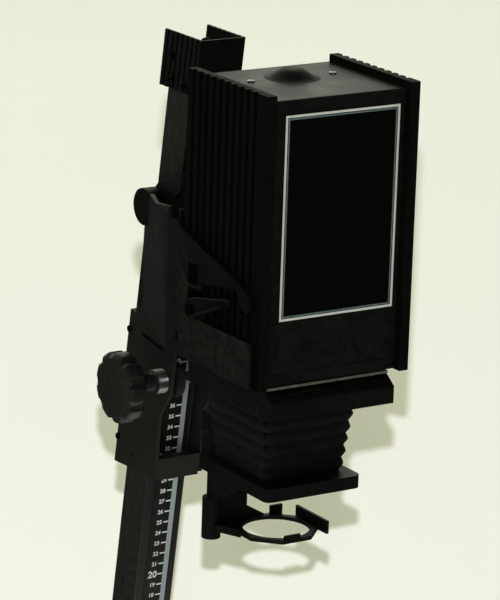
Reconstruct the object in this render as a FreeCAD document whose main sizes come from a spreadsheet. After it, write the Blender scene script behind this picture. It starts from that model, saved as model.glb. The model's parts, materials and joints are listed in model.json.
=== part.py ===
"""Photographic enlarger for 35 mm film: an inclined column on a baseboard, a counterbalanced carriage,
a lamphouse that lifts off its negative carrier, bellows focusing and a swing-out filter tray.

Millimetres, +Z up, +X to the user's right, the user at -Y. The origin is under the middle of the baseboard.
Three frames are used:
  WORLD   the baseboard's own frame
  HEAD    origin on the middle of the lamphouse's lower front edge, axes as WORLD
  COLUMN  origin on the column's axis at the baseboard's top, z up along the leaning column
"""
import FreeCAD, Part
import math
import os

import Sketcher
from FreeCAD import Vector

DIMENSIONS = {
    # baseboard and feet
    "board_w": 406, "board_d": 457, "board_t": 19, "board_round": 3,
    "pad_r": 14, "pad_h": 5, "pad_inset": 32,
    # column, its foot and its cap
    "lean": 8.62, "foot_y": 184.3,
    "column_w": 37.4, "column_d": 34, "column_wall": 2, "column_lip": 1.4, "column_recess": 0.8,
    "column_start": 4, "column_top": 650,
    "foot_w": 118, "foot_front": 62, "foot_back": 44, "foot_t": 7, "socket_wall": 8, "socket_h": 58,
    "foot_bolt_x": 46, "foot_bolt_front": 50, "foot_bolt_back": 32, "bolt_r": 3,
    "scale_x": -9.4, "scale_w": 23.8, "scale_t": 0.4, "scale_start": 60, "scale_end": 632,
    "cap_w": 42, "cap_d": 55.2, "cap_wall": 2.2, "cap_low": 630.8, "cap_high": 678.4,
    "cap_rib_pitch": 7.4, "cap_rib_w": 2.6, "cap_rib_deep": 0.9, "cap_rib_n": 7,
    "drum_y": 12.6, "drum_z": 664, "drum_r": 8.9, "drum_flange": 3.1, "drum_w": 26, "axle_r": 3,
    "strip_w": 16, "strip_t": 0.4,
    # carriage sleeve, measured from its own datum on the column
    "datum": 445, "sleeve_in": 20.2, "sleeve_t": 3.3, "sleeve_rear": 30, "sleeve_web": 3.2,
    "upper_rear": 21.6, "sleeve_top": 129, "sleeve_bottom": -154, "sleeve_step": -12.5, "sleeve_front": -25,
    "drive_y": -31.2, "drive_z": -52, "roll_left": -17, "roll_right": -10, "shaft_r": 5,
    "rub_gap": 0.05, "fit": 0.05, "cover_screw_r": 1.6,
    "knob_r": 30, "knob_t": 16, "knob_face": -71.5, "knob_lobes": 9, "knob_neck_r": 7.5, "collar_r": 10.3,
    "collar_t": 9.2, "lock_z": -100, "lock_r": 15, "lock_t": 18, "lock_stud_r": 4,
    # head: lamphouse
    "head_y": -123.5, "head_z": 464, "lamp_w": 140, "lamp_d": 115.8, "lamp_h": 233.2, "side_t": 8.4,
    "groove_y": 15.6, "groove_w": 4.4, "groove_pitch": 9.9, "groove_deep": 2.6, "groove_n": 10,
    "face_y": 7.4, "sheet": 2.5, "top_drop": 5.9, "rear_y": 112, "drawer_z": 9.8,
    "label_left": -49.2, "label_right": 56.3, "label_low": 52.5, "label_high": 215.5, "label_t": 1,
    "optic_y": 75, "dome_r": 22.5, "dome_h": 7.5, "top_screw_x": 38,
    "housing_half": 36, "housing_low": 10.2, "housing_high": 70, "lens_r": 31, "light_r": 28,
    "bulb_r": 30, "bulb_z": 126, "socket_r": 14, "socket_z": 182,
    # head: yoke arms, lift lever
    "arm_gap": 0.6, "arm_t": 3, "arm_bend": 134, "arm_back": 259, "window_z": 37, "window_back": 102,
    "lug_y": 236, "lug_z": 90, "lug_r": 15.5, "lug_out": 36, "yoke_y": 120, "yoke_t": 3.5, "yoke_top": 118,
    "lever_y": 93, "cam_r": 6.5, "cam_gap": 0.3, "cam_lift": 8, "cam_turn": 48, "lever_t": 2.4,
    "lever_pin_r": 3, "yoke_screw_r": 2, "yoke_screw_head": 3.6,
    # head: negative stage, carrier, bellows
    "stage_w": 115, "stage_top": -4, "stage_low": -25.6, "stage_face": -11.5, "stage_chamfer": 11,
    "carrier_t": 2.4, "carrier_z": -3.6, "carrier_front": 9.6, "carrier_back": 100,
    "frame_x": 36, "frame_y": 24, "rod_x": 52, "rod_y": 106, "rod_r": 4, "rod_top": 60,
    "bellows_top_w": 82, "bellows_top_d": 88, "bellows_low_w": 73, "bellows_low_d": 76, "bellows_wall": 6,
    # head: lens stage, focusing, filter tray
    "lens_w": 89.6, "lens_front": 21.4, "lens_back": 127, "lens_low": -100.6, "lens_high": -89.9,
    "lens_corner": 6, "lens_hole": 24, "thread_r": 18.96, "flange_r": 30, "flange_t": 2.4,
    "rail_w": 40, "rail_y": 127.3, "rail_t": 12, "rail_low": -119, "rail_high": 10,
    "jaw_t": 5.7, "focus_y": 145.6, "focus_z": -80, "focus_r": 3, "focus_knob_r": 16,
    "post_x": -40.5, "post_y": 109, "web_end": -8.9, "web_t": 2.4, "post_low": -121, "hub_r": 7.8,
    "hub_low": -156, "web_y": 105.5, "tray_top": -143.2, "tray_t": 3.3, "tray_hole": 27.3, "tray_half": 32,
}


class Size:
    """A length that carries its number and the spreadsheet expression that gives it."""

    def __init__(self, value, text):
        self.value = value
        self.text = text

    def join(self, other, sign, value):
        return Size(value, f"({self.text} {sign} {size(other).text})")

    def __add__(self, other):
        return self.join(other, "+", self.value + size(other).value)

    def __sub__(self, other):
        return self.join(other, "-", self.value - size(other).value)

    def __mul__(self, other):
        return self.join(other, "*", self.value * size(other).value)

    def __truediv__(self, other):
        return self.join(other, "/", self.value / size(other).value)

    def __radd__(self, other):
        return size(other) + self

    def __rsub__(self, other):
        return size(other) - self

    def __rmul__(self, other):
        return size(other) * self

    def __neg__(self):
        return self * -1


def size(number):
    return number if isinstance(number, Size) else Size(float(number), f"{float(number):.4f}")


document = FreeCAD.newDocument("Enlarger")
sheet = document.addObject("Spreadsheet::Sheet", "Sizes")
PIECES = []


def fill_sheet():
    """Write each driving dimension as a plain number with its alias, and return them as Sizes."""
    sizes = {}
    for row, (name, value) in enumerate(DIMENSIONS.items(), start=1):
        sheet.set(f"A{row}", name)
        sheet.set(f"B{row}", str(value))
        sheet.setAlias(f"B{row}", name)
        sizes[name] = Size(float(value), f"Sizes.{name}")
    document.recompute()
    return sizes


class Named:
    """The driving dimensions by name."""

    def __init__(self, sizes):
        self.__dict__.update(sizes)


D = Named(fill_sheet())
LEAN = math.radians(D.lean.value)


def bind(thing, path, amount):
    """Bind one property of a document object to a size."""
    thing.setExpression(path, size(amount).text)


def bind_place(thing, x, y, z, path="Placement"):
    for axis, amount in zip("xyz", (x, y, z)):
        bind(thing, f"{path}.Base.{axis}", amount)


def put_in_head(thing):
    bind_place(thing, 0, D.head_y, D.head_z)


def put_on_column(thing):
    """Place a shape drawn in the COLUMN frame."""
    turn = FreeCAD.Rotation(Vector(1, 0, 0), D.lean.value)
    thing.Placement = FreeCAD.Placement(Vector(0, D.foot_y.value, (D.pad_h + D.board_t).value), turn)
    bind_place(thing, 0, D.foot_y, D.pad_h + D.board_t)
    bind(thing, "Placement.Rotation.Angle", D.lean)


def keep_in_world(thing):
    """A shape drawn in the WORLD frame stays where it is."""


def piece(label, thing, frame):
    """Name a finished sub-part and put it in its frame."""
    thing.Label = label
    frame(thing)
    PIECES.append(thing)
    return thing


# ---------------------------------------------------------------- Part primitives and booleans


def box(name, x, y, z):
    """A block between two bounds on each axis."""
    solid = document.addObject("Part::Box", name)
    for prop, (low, high) in zip(("Length", "Width", "Height"), (x, y, z)):
        bind(solid, prop, size(high) - low)
    bind_place(solid, x[0], y[0], z[0])
    return solid


TURNS = {"x": (Vector(0, 1, 0), 90), "y": (Vector(1, 0, 0), -90), "z": (Vector(0, 0, 1), 0)}


def rod(name, axis, radius, span, across):
    """A cylinder along an axis: span is (low, high) along it, across the two other coordinates in order."""
    low, high = span
    solid = document.addObject("Part::Cylinder", name)
    bind(solid, "Radius", radius)
    bind(solid, "Height", size(high) - low)
    place = {"x": (low, across[0], across[1]), "y": (across[0], low, across[1]),
             "z": (across[0], across[1], low)}[axis]
    direction, angle = TURNS[axis]
    values = [size(amount).value for amount in place]
    solid.Placement = FreeCAD.Placement(Vector(*values), FreeCAD.Rotation(direction, angle))
    bind_place(solid, *place)
    return solid


def fuse(name, *solids):
    """One solid from two or more that meet."""
    if len(solids) == 2:
        joined = document.addObject("Part::Fuse", name)
        joined.Base, joined.Tool = solids
    else:
        joined = document.addObject("Part::MultiFuse", name)
        joined.Shapes = list(solids)
    joined.Refine = True
    return joined


def group(name, *solids):
    """Separate solids of one node."""
    together = document.addObject("Part::Compound", name)
    together.Links = list(solids)
    return together


def wrapped(solid):
    """Hold a placed primitive in a compound of its own, which can then be put in a frame."""
    return group(solid.Name + "Held", solid)


def cut(name, base, *tools):
    result = document.addObject("Part::Cut", name)
    result.Base = base
    result.Tool = tools[0] if len(tools) == 1 else fuse(name + "Tools", *tools)
    result.Refine = True
    return result


def common(name, first, second):
    result = document.addObject("Part::Common", name)
    result.Base = first
    result.Tool = second
    return result


# ---------------------------------------------------------------- PartDesign bodies


def plane(body, role):
    return next(item for item in body.Origin.OriginFeatures if item.Role == role)


def sketch(body, name, role, offset=0):
    drawing = body.newObject("Sketcher::SketchObject", name)
    drawing.AttachmentSupport = [(plane(body, role), "")]
    drawing.MapMode = "FlatFace"
    bind(drawing, "AttachmentOffset.Base.z", offset)
    return drawing


def draw_outline(drawing, outline):
    """A closed outline of straight sides, each corner held by two bound dimensions from the origin."""
    corners = [(size(u), size(v)) for u, v in outline]
    start = drawing.GeometryCount
    count = len(corners)
    for here, there in zip(corners, corners[1:] + corners[:1]):
        ends = [Vector(u.value, v.value, 0) for u, v in (here, there)]
        drawing.addGeometry(Part.LineSegment(*ends), False)
    for index, corner in enumerate(corners):
        line = start + index
        drawing.addConstraint(Sketcher.Constraint("Coincident", line, 2, start + (index + 1) % count, 1))
        for kind, own_axis, amount in zip(("DistanceX", "DistanceY"), (-2, -1), corner):
            if abs(amount.value) < 1e-9:
                drawing.addConstraint(Sketcher.Constraint("PointOnObject", line, 1, own_axis))
                continue
            held = drawing.addConstraint(Sketcher.Constraint(kind, -1, 1, line, 1, amount.value))
            drawing.setExpression(f"Constraints[{held}]", amount.text)


def draw_circle(drawing, u, v, radius):
    u, v, radius = size(u), size(v), size(radius)
    centre = Vector(u.value, v.value, 0)
    index = drawing.addGeometry(Part.Circle(centre, Vector(0, 0, 1), radius.value), False)
    for kind, own_axis, amount in zip(("DistanceX", "DistanceY"), (-2, -1), (u, v)):
        if abs(amount.value) < 1e-9:
            drawing.addConstraint(Sketcher.Constraint("PointOnObject", index, 3, own_axis))
            continue
        held = drawing.addConstraint(Sketcher.Constraint(kind, -1, 1, index, 3, amount.value))
        drawing.setExpression(f"Constraints[{held}]", amount.text)
    held = drawing.addConstraint(Sketcher.Constraint("Radius", index, radius.value))
    drawing.setExpression(f"Constraints[{held}]", radius.text)


def extrude(name, role, span, *outlines, holes=()):
    """A body padded along its plane's normal between two bounds. XZ pads run along +Y."""
    low, high = size(span[0]), size(span[1])
    body = document.addObject("PartDesign::Body", name)
    along_y = role == "XZ_Plane"
    drawing = sketch(body, name + "Outline", role, -low if along_y else low)
    for outline in outlines:
        draw_outline(drawing, outline)
    for u, v, radius in holes:
        draw_circle(drawing, u, v, radius)
    pad = body.newObject("PartDesign::Pad", name + "Pad")
    pad.Profile = drawing
    pad.Reversed = along_y
    bind(pad, "Length", high - low)
    document.recompute()
    return body


def pocket(body, name, role, span, outline=None, circle=None):
    """Cut a straight-sided or round pocket between two bounds along the plane's normal."""
    low, high = size(span[0]), size(span[1])
    before = body.Shape.Volume
    drawing = sketch(body, name + "Outline", role, -low if role == "XZ_Plane" else low)
    if outline:
        draw_outline(drawing, outline)
    else:
        draw_circle(drawing, *circle)
    hole = body.newObject("PartDesign::Pocket", name)
    hole.Profile = drawing
    hole.Reversed = role != "XZ_Plane"
    bind(hole, "Length", high - low)
    document.recompute()
    if body.Shape.Volume > before - 1e-6:
        raise ValueError(f"{name} removed nothing")
    return hole


def revolve(name, outline, place=(0, 0, 0)):
    """A body turned about the Z axis from a half section drawn in XZ, then put at a place."""
    body = document.addObject("PartDesign::Body", name)
    drawing = sketch(body, name + "Section", "XZ_Plane")
    draw_outline(drawing, outline)
    turned = body.newObject("PartDesign::Revolution", name + "Turn")
    turned.Profile = drawing
    turned.ReferenceAxis = (drawing, ["V_Axis"])
    turned.Angle = 360
    document.recompute()
    bind_place(body, *place)
    return body


def rectangle(x, y):
    return [(x[0], y[0]), (x[1], y[0]), (x[1], y[1]), (x[0], y[1])]


def pattern_line(body, feature, role, length, count):
    """Repeat a feature along one of the body's own axes."""
    row = body.newObject("PartDesign::LinearPattern", feature.Name + "Row")
    row.Originals = [feature]
    row.Direction = (plane(body, role), [""])
    bind(row, "Length", length)
    bind(row, "Occurrences", count)
    body.Tip = row
    document.recompute()


def pattern_turn(body, feature, role, count):
    ring = body.newObject("PartDesign::PolarPattern", feature.Name + "Ring")
    ring.Originals = [feature]
    ring.Axis = (plane(body, role), [""])
    ring.Angle = 360
    bind(ring, "Occurrences", count)
    body.Tip = ring
    document.recompute()


def round_edges(body, name, radius, choose):
    """Fillet the edges of a body's tip that a test picks."""
    tip = body.Tip
    names = [f"Edge{number}" for number, edge in enumerate(tip.Shape.Edges, start=1) if choose(edge)]
    blend = body.newObject("PartDesign::Fillet", name)
    blend.Base = (tip, names)
    bind(blend, "Radius", radius)
    document.recompute()


def is_upright(edge):
    ends = [vertex.Point for vertex in edge.Vertexes]
    return len(ends) == 2 and abs(ends[0].x - ends[1].x) + abs(ends[0].y - ends[1].y) < 1e-6


# ---------------------------------------------------------------- stand

BOARD_TOP = D.pad_h + D.board_t
BOLT_PLACES = [(side * D.foot_bolt_x, D.foot_y + along)
               for side in (-1, 1) for along in (-D.foot_bolt_front, D.foot_bolt_back)]


def make_baseboard():
    half_w, half_d = D.board_w / 2, D.board_d / 2
    board = extrude("Board", "XY_Plane", (D.pad_h, BOARD_TOP),
                    rectangle((-half_w, half_w), (-half_d, half_d)),
                    holes=[(x, y, D.bolt_r + D.fit) for x, y in BOLT_PLACES])
    round_edges(board, "BoardCorners", D.board_round * 3, lambda edge: is_upright(edge) and edge.Length > 10
                and abs(edge.Vertexes[0].Point.x) > half_w.value - 1)
    piece("baseboard", board, keep_in_world)


def make_feet():
    feet = []
    for number, (sx, sy) in enumerate([(-1, -1), (1, -1), (1, 1), (-1, 1)]):
        place = (sx * (D.board_w / 2 - D.pad_inset), sy * (D.board_d / 2 - D.pad_inset))
        feet.append(rod(f"Foot{number}", "z", D.pad_r, (0, D.pad_h), place))
    piece("rubber_feet", group("Feet", *feet), keep_in_world)


def make_column_foot():
    """A cast foot: a flat plate and a leaning socket that the column stands in."""
    half = D.column_w / 2 + D.socket_wall
    front, back = D.foot_y - D.foot_front, D.foot_y + D.foot_back
    plate = extrude("FootPlate", "XY_Plane", (BOARD_TOP, BOARD_TOP + D.foot_t),
                    rectangle((-D.foot_w / 2, D.foot_w / 2), (front, back)),
                    holes=[(x, y, D.bolt_r + D.fit) for x, y in BOLT_PLACES])
    round_edges(plate, "FootCorners", 8, lambda edge: is_upright(edge)
                and abs(edge.Vertexes[0].Point.x) > D.foot_w.value / 2 - 1)
    top = BOARD_TOP + D.socket_h
    shift = D.socket_h * math.tan(LEAN)
    reach = D.column_d / 2 + D.socket_wall
    socket = extrude("FootSocket", "YZ_Plane", (-half, half), [
        (D.foot_y - reach - 16, BOARD_TOP + D.foot_t - 1), (D.foot_y + reach + 5, BOARD_TOP + D.foot_t - 1),
        (D.foot_y + reach - shift + 2, top), (D.foot_y - reach - shift, top)])
    grow = D.fit
    hollow = box("FootHollow", (-D.column_w / 2 - grow, D.column_w / 2 + grow),
                 (-D.column_d / 2 - grow, D.column_d / 2 + grow), (D.column_start - grow, D.socket_h * 2))
    socket_bore = wrapped(hollow)
    put_on_column(socket_bore)
    piece("column_foot", cut("FootCast", fuse("FootBlank", plate, socket), socket_bore), keep_in_world)
    bolts = []
    for number, (x, y) in enumerate(BOLT_PLACES):
        head = document.addObject("Part::Prism", f"BoltHead{number}")
        head.Polygon = 6
        bind(head, "Circumradius", D.bolt_r * 2)
        bind(head, "Height", D.bolt_r * 1.4)
        bind_place(head, x, y, BOARD_TOP + D.foot_t)
        shank = rod(f"BoltShank{number}", "z", D.bolt_r, (D.pad_h + 2, BOARD_TOP + D.foot_t + 1), (x, y))
        bolts.append(fuse(f"Bolt{number}", head, shank))
    piece("foot_bolts", group("Bolts", *bolts), keep_in_world)


def make_column():
    """A box extrusion whose front face is sunk between two narrow lips."""
    half, deep, lip = D.column_w / 2, D.column_d / 2, D.column_w / 2 - D.column_lip
    sunk = D.column_recess - deep
    body = extrude("ColumnTube", "XY_Plane", (D.column_start, D.column_top), [
        (-half, -deep), (-lip, -deep), (-lip, sunk), (lip, sunk), (lip, -deep), (half, -deep),
        (half, deep), (-half, deep)])
    inner, front = half - D.column_wall, sunk + D.column_wall
    pocket(body, "ColumnBore", "XY_Plane", (D.column_start - 1, D.column_top + 1),
           rectangle((-inner, inner), (front, deep - D.column_wall)))
    piece("column", body, put_on_column)
    strip = extrude("ScaleStrip", "XY_Plane", (D.scale_start, D.scale_end),
                    rectangle((D.scale_x, D.scale_x + D.scale_w), (sunk - D.scale_t, sunk)))
    piece("scale_strip", strip, put_on_column)


def level(height, y):
    """Height along the column, at depth y, of a level plane that lies this far above the baseboard."""
    return height / math.cos(LEAN) - y * math.tan(LEAN)


def make_column_cap():
    """A ribbed channel, open at the back, cut level above and below, that carries the drum."""
    half, deep, wall = D.cap_w / 2, D.cap_d / 2, D.cap_wall
    inner = half - wall
    low, high = level(D.cap_low, deep) - 1, level(D.cap_high, -deep) + 1
    body = extrude("CapChannel", "XY_Plane", (low, high), [
        (-half, -deep), (half, -deep), (half, deep), (inner, deep), (inner, wall - deep),
        (-inner, wall - deep), (-inner, deep), (-half, deep)])
    first = deep - D.cap_rib_pitch / 2 - D.cap_rib_w
    for side, name in ((-1, "CapGrooveLeft"), (1, "CapGrooveRight")):
        bounds = (-half - 1, D.cap_rib_deep - half) if side < 0 else (half - D.cap_rib_deep, half + 1)
        groove = pocket(body, name, "XY_Plane", (low - 1, high + 1),
                        rectangle(bounds, (-first - D.cap_rib_w, -first)))
        pattern_line(body, groove, "Y_Axis", D.cap_rib_pitch * (D.cap_rib_n - 1), D.cap_rib_n)
    axle_at = (D.drum_y, D.drum_z)
    pocket(body, "CapAxleHole", "YZ_Plane", (-half - 1, half + 1), circle=(*axle_at, D.axle_r + D.fit))
    profile = extrude("CapProfile", "YZ_Plane", (-half - 2, half + 2), [
        (-deep - 2, level(D.cap_low, -deep - 2)), (deep + 2, level(D.cap_low, deep + 2)),
        (deep + 2, level(D.cap_high, deep + 2)), (-deep - 2, level(D.cap_high, -deep - 2))])
    piece("column_cap", common("Cap", body, profile), put_on_column)


def make_drum():
    """The spring drum and its axle: the counterbalance strip leaves the drum behind the column."""
    axle_at = (D.drum_y, D.drum_z)
    cap_half, half = D.cap_w / 2, D.drum_w / 2
    axle = rod("DrumAxle", "x", D.axle_r, (-cap_half - 1.5, cap_half + 1.5), axle_at)
    piece("drum_axle", wrapped(axle), put_on_column)
    core = rod("DrumCore", "x", D.drum_r, (-half, half), axle_at)
    ends = [rod(f"DrumEnd{side}", "x", D.drum_r + D.drum_flange, span, axle_at)
            for side, span in ((0, (-half, -half + 2)), (1, (half - 2, half)))]
    bore = rod("DrumBore", "x", D.axle_r + D.fit, (-cap_half, cap_half), axle_at)
    piece("spring_drum", cut("Drum", fuse("DrumBlank", core, *ends), bore), put_on_column)


def make_cap_screws():
    """Screws that hold the cap's two walls on the column."""
    screws = []
    half = D.cap_w / 2
    for number, (side, along) in enumerate([(-1, -9), (-1, 9), (1, -9), (1, 9)]):
        height = D.column_top - 4
        low, high = (half, half + 1.8) if side > 0 else (-half - 1.8, -half)
        screws.append(rod(f"CapScrew{number}", "x", 3, (low, high), (along, height)))
    piece("cap_screws", group("CapScrews", *screws), put_on_column)


def make_strip():
    """The steel strip that runs from the drum to the carriage behind the column."""
    near = D.upper_rear
    strip = box("Strip", (-D.strip_w / 2, D.strip_w / 2), (near, near + D.strip_t),
                (D.datum + 84, D.drum_z))
    piece("counterbalance_strip", wrapped(strip), put_on_column)


# ---------------------------------------------------------------- carriage sleeve, on the column


def lift(outline):
    """Move an outline in (y, z) up to the carriage's datum."""
    return [(y, D.datum + z) for y, z in outline]


SLEEVE_OUT = D.sleeve_in + D.sleeve_t
SLEEVE_SCREWS = [(28, -30), (28, -130), (-23.2, 20), (-23.2, 110)]


def sleeve_outline():
    """Side view of the sleeve's walls: wide below for the rear rollers, stepped in above."""
    rear, upper, front = D.sleeve_rear, D.upper_rear, D.sleeve_front
    return lift([(rear, D.sleeve_bottom), (rear, D.sleeve_step), (upper, D.sleeve_step),
                 (upper, D.sleeve_top - 37), (7, D.sleeve_top - 16), (front, D.sleeve_top), (front, -4),
                 (front - 19, -14),
                 (front - 19, -60), (front - 6, -85), (front - 10, D.sleeve_bottom + 13)])


def make_sleeve():
    outline = sleeve_outline()
    drive = (D.drive_y, D.datum + D.drive_z)
    for side, label in ((-1, "sleeve_left"), (1, "sleeve_right")):
        name = label.title().replace("_", "")
        span = (-SLEEVE_OUT, -D.sleeve_in) if side < 0 else (D.sleeve_in, SLEEVE_OUT)
        reach = (span[0] - 1, span[1] + 1)
        body = extrude(name, "YZ_Plane", span, outline)
        pocket(body, name + "Shaft", "YZ_Plane", reach, circle=(*drive, D.shaft_r + D.fit))
        pocket(body, name + "Slit", "YZ_Plane", reach, lift(rectangle((-27, 9), (-27.6, -24.6))))
        pocket(body, name + "Port", "YZ_Plane", reach, circle=(4.4, D.datum - 137, 2.2))
        if side > 0:
            pocket(body, name + "Lock", "YZ_Plane", reach,
                   circle=(0, D.datum + D.lock_z, D.lock_stud_r + D.fit))
        for number, (y, z) in enumerate(SLEEVE_SCREWS):
            pocket(body, f"{name}Screw{number}", "YZ_Plane", reach, circle=(y, D.datum + z, D.cover_screw_r))
        piece(label, body, put_on_column)
    inner, web = D.sleeve_in, D.sleeve_web
    rear = extrude("RearCover", "YZ_Plane", (-inner, inner), lift([
        (D.sleeve_rear, D.sleeve_bottom), (D.sleeve_rear, D.sleeve_step), (D.upper_rear, D.sleeve_step),
        (D.upper_rear, 91), (D.upper_rear - 2.4, 91), (D.upper_rear - 2.4, D.sleeve_step - web),
        (D.sleeve_rear - web - 1, D.sleeve_step - web), (D.sleeve_rear - web - 1, D.sleeve_bottom)]))
    piece("sleeve_rear_cover", drilled("RearCoverDrilled", rear, SLEEVE_SCREWS[:2]), put_on_column)
    front = box("FrontCover", (-inner, inner), (D.sleeve_front, D.sleeve_front + web + 1),
                (D.datum - 4, D.datum + D.sleeve_top))
    piece("sleeve_front_cover", drilled("FrontCoverDrilled", front, SLEEVE_SCREWS[2:]), put_on_column)
    bar = box("Crosspiece", (-inner, inner), (D.sleeve_front - 9, D.sleeve_front - 2),
              (D.datum + D.sleeve_bottom + 10, D.datum + D.sleeve_bottom + 30))
    piece("front_crosspiece", wrapped(bar), put_on_column)


def drilled(name, blank, places):
    """Drill the screw holes from both ends of a cover."""
    holes = []
    ends = ((-D.sleeve_in - 1, 8 - D.sleeve_in), (D.sleeve_in - 8, D.sleeve_in + 1))
    for number, (y, z) in enumerate(places):
        for side, span in enumerate(ends):
            holes.append(rod(f"{name}Hole{number}{side}", "x", D.cover_screw_r, span, (y, D.datum + z)))
    return cut(name, blank, *holes)


def make_sleeve_screws():
    screws = []
    for number, (y, z) in enumerate(SLEEVE_SCREWS):
        for side in (-1, 1):
            ends = sorted([side * (SLEEVE_OUT.value), side * (SLEEVE_OUT.value + 2)])
            inner = sorted([side * (D.sleeve_in.value - 6), side * (SLEEVE_OUT.value + 1)])
            tag = f"{number}{'L' if side < 0 else 'R'}"
            head = rod(f"SleeveScrewHead{tag}", "x", 3, ends, (y, D.datum + z))
            shank = rod(f"SleeveScrewShank{tag}", "x", 1.5, inner, (y, D.datum + z))
            screws.append(fuse(f"SleeveScrew{tag}", head, shank))
    piece("sleeve_screws", group("SleeveScrews", *screws), put_on_column)


def make_glide_pads():
    """Nylon pads that the sleeve slides on: four at the sides, two behind and two in front."""
    gap = D.rub_gap
    side_in, back = D.column_w / 2 + gap, D.column_d / 2 + gap
    front = D.column_recess - D.column_d / 2 - gap
    pads = []
    for number, low in enumerate((-140, 88)):
        heights = (D.datum + low, D.datum + low + 20)
        pads.append(box(f"PadLeft{number}", (-D.sleeve_in, -side_in), (-8, 8), heights))
        pads.append(box(f"PadRight{number}", (side_in, D.sleeve_in), (-8, 8), heights))
    rear_low = D.sleeve_rear - D.sleeve_web - 1
    pads.append(box("PadRearLow", (-9, 9), (back, rear_low), (D.datum - 150, D.datum - 130)))
    pads.append(box("PadRearHigh", (-9, 9), (back, D.upper_rear - 2.4), (D.datum + 70, D.datum + 90)))
    left = D.roll_left, D.roll_right
    pads.append(box("PadFrontHigh", left, (D.sleeve_front + D.sleeve_web + 1, front),
                    (D.datum + 100, D.datum + 120)))
    pads.append(box("PadFrontLow", left, (D.sleeve_front - 2, front), (D.datum - 138, D.datum - 126)))
    piece("glide_pads", group("GlidePads", *pads), put_on_column)


def make_elevation_drive():
    """Knob, shaft and rubber wheel: the wheel rolls on the column's front face."""
    at = (D.drive_y, D.datum + D.drive_z)
    wheel_r = D.column_recess - D.column_d / 2 - D.drive_y - D.rub_gap
    shaft = rod("DriveShaft", "x", D.shaft_r, (D.knob_face + 5, SLEEVE_OUT + 3), at)
    piece("drive_shaft", wrapped(shaft), put_on_column)
    wheel = cut("DriveWheel", rod("WheelBlank", "x", wheel_r, (D.roll_left, D.roll_right), at),
                rod("WheelBore", "x", D.shaft_r, (D.roll_left - 1, D.roll_right + 1), at))
    piece("drive_wheel", wheel, put_on_column)
    collar = cut("Collar", rod("CollarBlank", "x", D.collar_r, (-SLEEVE_OUT - D.collar_t, -SLEEVE_OUT), at),
                 rod("CollarBore", "x", D.shaft_r + D.fit, (-SLEEVE_OUT - 20, 0), at))
    piece("shaft_collar", collar, put_on_column)
    back = D.knob_face + D.knob_t
    body = extrude("KnobDisc", "YZ_Plane", (D.knob_face, back), holes=[(0, 0, D.knob_r)])
    lobe = pocket(body, "KnobScallop", "YZ_Plane", (D.knob_face - 1, back + 1),
                  circle=(D.knob_r + 4.6, 0, 7.2))
    pattern_turn(body, lobe, "X_Axis", D.knob_lobes)
    bind_place(body, 0, *at)
    neck = rod("KnobNeck", "x", D.knob_neck_r, (back, -SLEEVE_OUT - D.collar_t - 0.3), at)
    bore = rod("KnobBore", "x", D.shaft_r, (D.knob_face + 5, 0), at)
    piece("elevation_knob", cut("Knob", fuse("KnobBlank", body, neck), bore), put_on_column)


def make_lock_knob():
    """A screw in the right wall whose nose presses on the column."""
    at = (0, D.datum + D.lock_z)
    stud = rod("LockStud", "x", D.lock_stud_r, (D.column_w / 2 + 0.1, SLEEVE_OUT + 6), at)
    grip_from = SLEEVE_OUT + 4
    grip = extrude("LockGrip", "YZ_Plane", (grip_from, grip_from + D.lock_t), holes=[(0, 0, D.lock_r)])
    flute = pocket(grip, "LockFlute", "YZ_Plane", (grip_from - 1, grip_from + D.lock_t + 1),
                   circle=(D.lock_r + 1.8, 0, 3.4))
    pattern_turn(grip, flute, "X_Axis", 8)
    bind_place(grip, 0, *at)
    piece("lock_knob", fuse("LockKnob", stud, grip), put_on_column)


# ---------------------------------------------------------------- yoke, stage and bellows, in the head

HALF_LAMP = D.lamp_w / 2
INNER_LAMP = D.lamp_w / 2 - D.side_t
AXIS = (0, D.optic_y)


def arm_plan(side):
    """Top view of one arm: flat beside the lamphouse, then bent in to the sleeve's wall."""
    outer, inner = HALF_LAMP + D.arm_gap + D.arm_t, HALF_LAMP + D.arm_gap
    plan = [(outer, 8), (outer, D.arm_bend), (SLEEVE_OUT + 3.5, D.arm_back - 10),
            (SLEEVE_OUT + 3.5, D.arm_back), (SLEEVE_OUT, D.arm_back), (SLEEVE_OUT, D.arm_back - 11.2),
            (inner, D.arm_bend - 0.7), (inner, 8)]
    return [(side * size(x), y) for x, y in plan]


def arm_side():
    """Side view of one arm: a low band, an open window and a finger that slopes forward to a round tip."""
    back = D.arm_back - 3.5
    return [(10, 0.5), (back, 0.5), (back - 10, 76), (234, 100), (222, 104), (195, 104),
            (D.arm_bend, 118), (D.arm_bend, 110), (25, 79.5), (15, 74), (12, 66), (16, 60), (22, 61),
            (32, 75), (82, 67), (82, 61), (D.window_back, 61), (D.window_back, D.window_z),
            (10, D.window_z)]


def make_arms():
    for side, label in ((-1, "yoke_arm_left"), (1, "yoke_arm_right")):
        name = label.title().replace("_", "")
        plan = extrude(name + "Plan", "XY_Plane", (0, 125), arm_plan(side))
        profile = extrude(name + "Side", "YZ_Plane", (-90, 90), arm_side())
        pocket(profile, name + "Slot", "YZ_Plane", (-91, 91), rectangle((87, D.window_back), (64, 81)))
        pocket(profile, name + "Port", "YZ_Plane", (-91, 91), rectangle((115, 118), (12, 20)))
        blade = common(name + "Blade", plan, profile)
        outer, inner = side * D.lug_out, side * SLEEVE_OUT
        span = (outer, inner) if side < 0 else (inner, outer)
        lug = rod(name + "Lug", "x", D.lug_r, span, (D.lug_y, D.lug_z))
        piece(label, fuse(name, blade, lug), put_in_head)


YOKE_SCREWS = [(x, z) for x in (-46, 46) for z in (-19, -10)]


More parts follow.
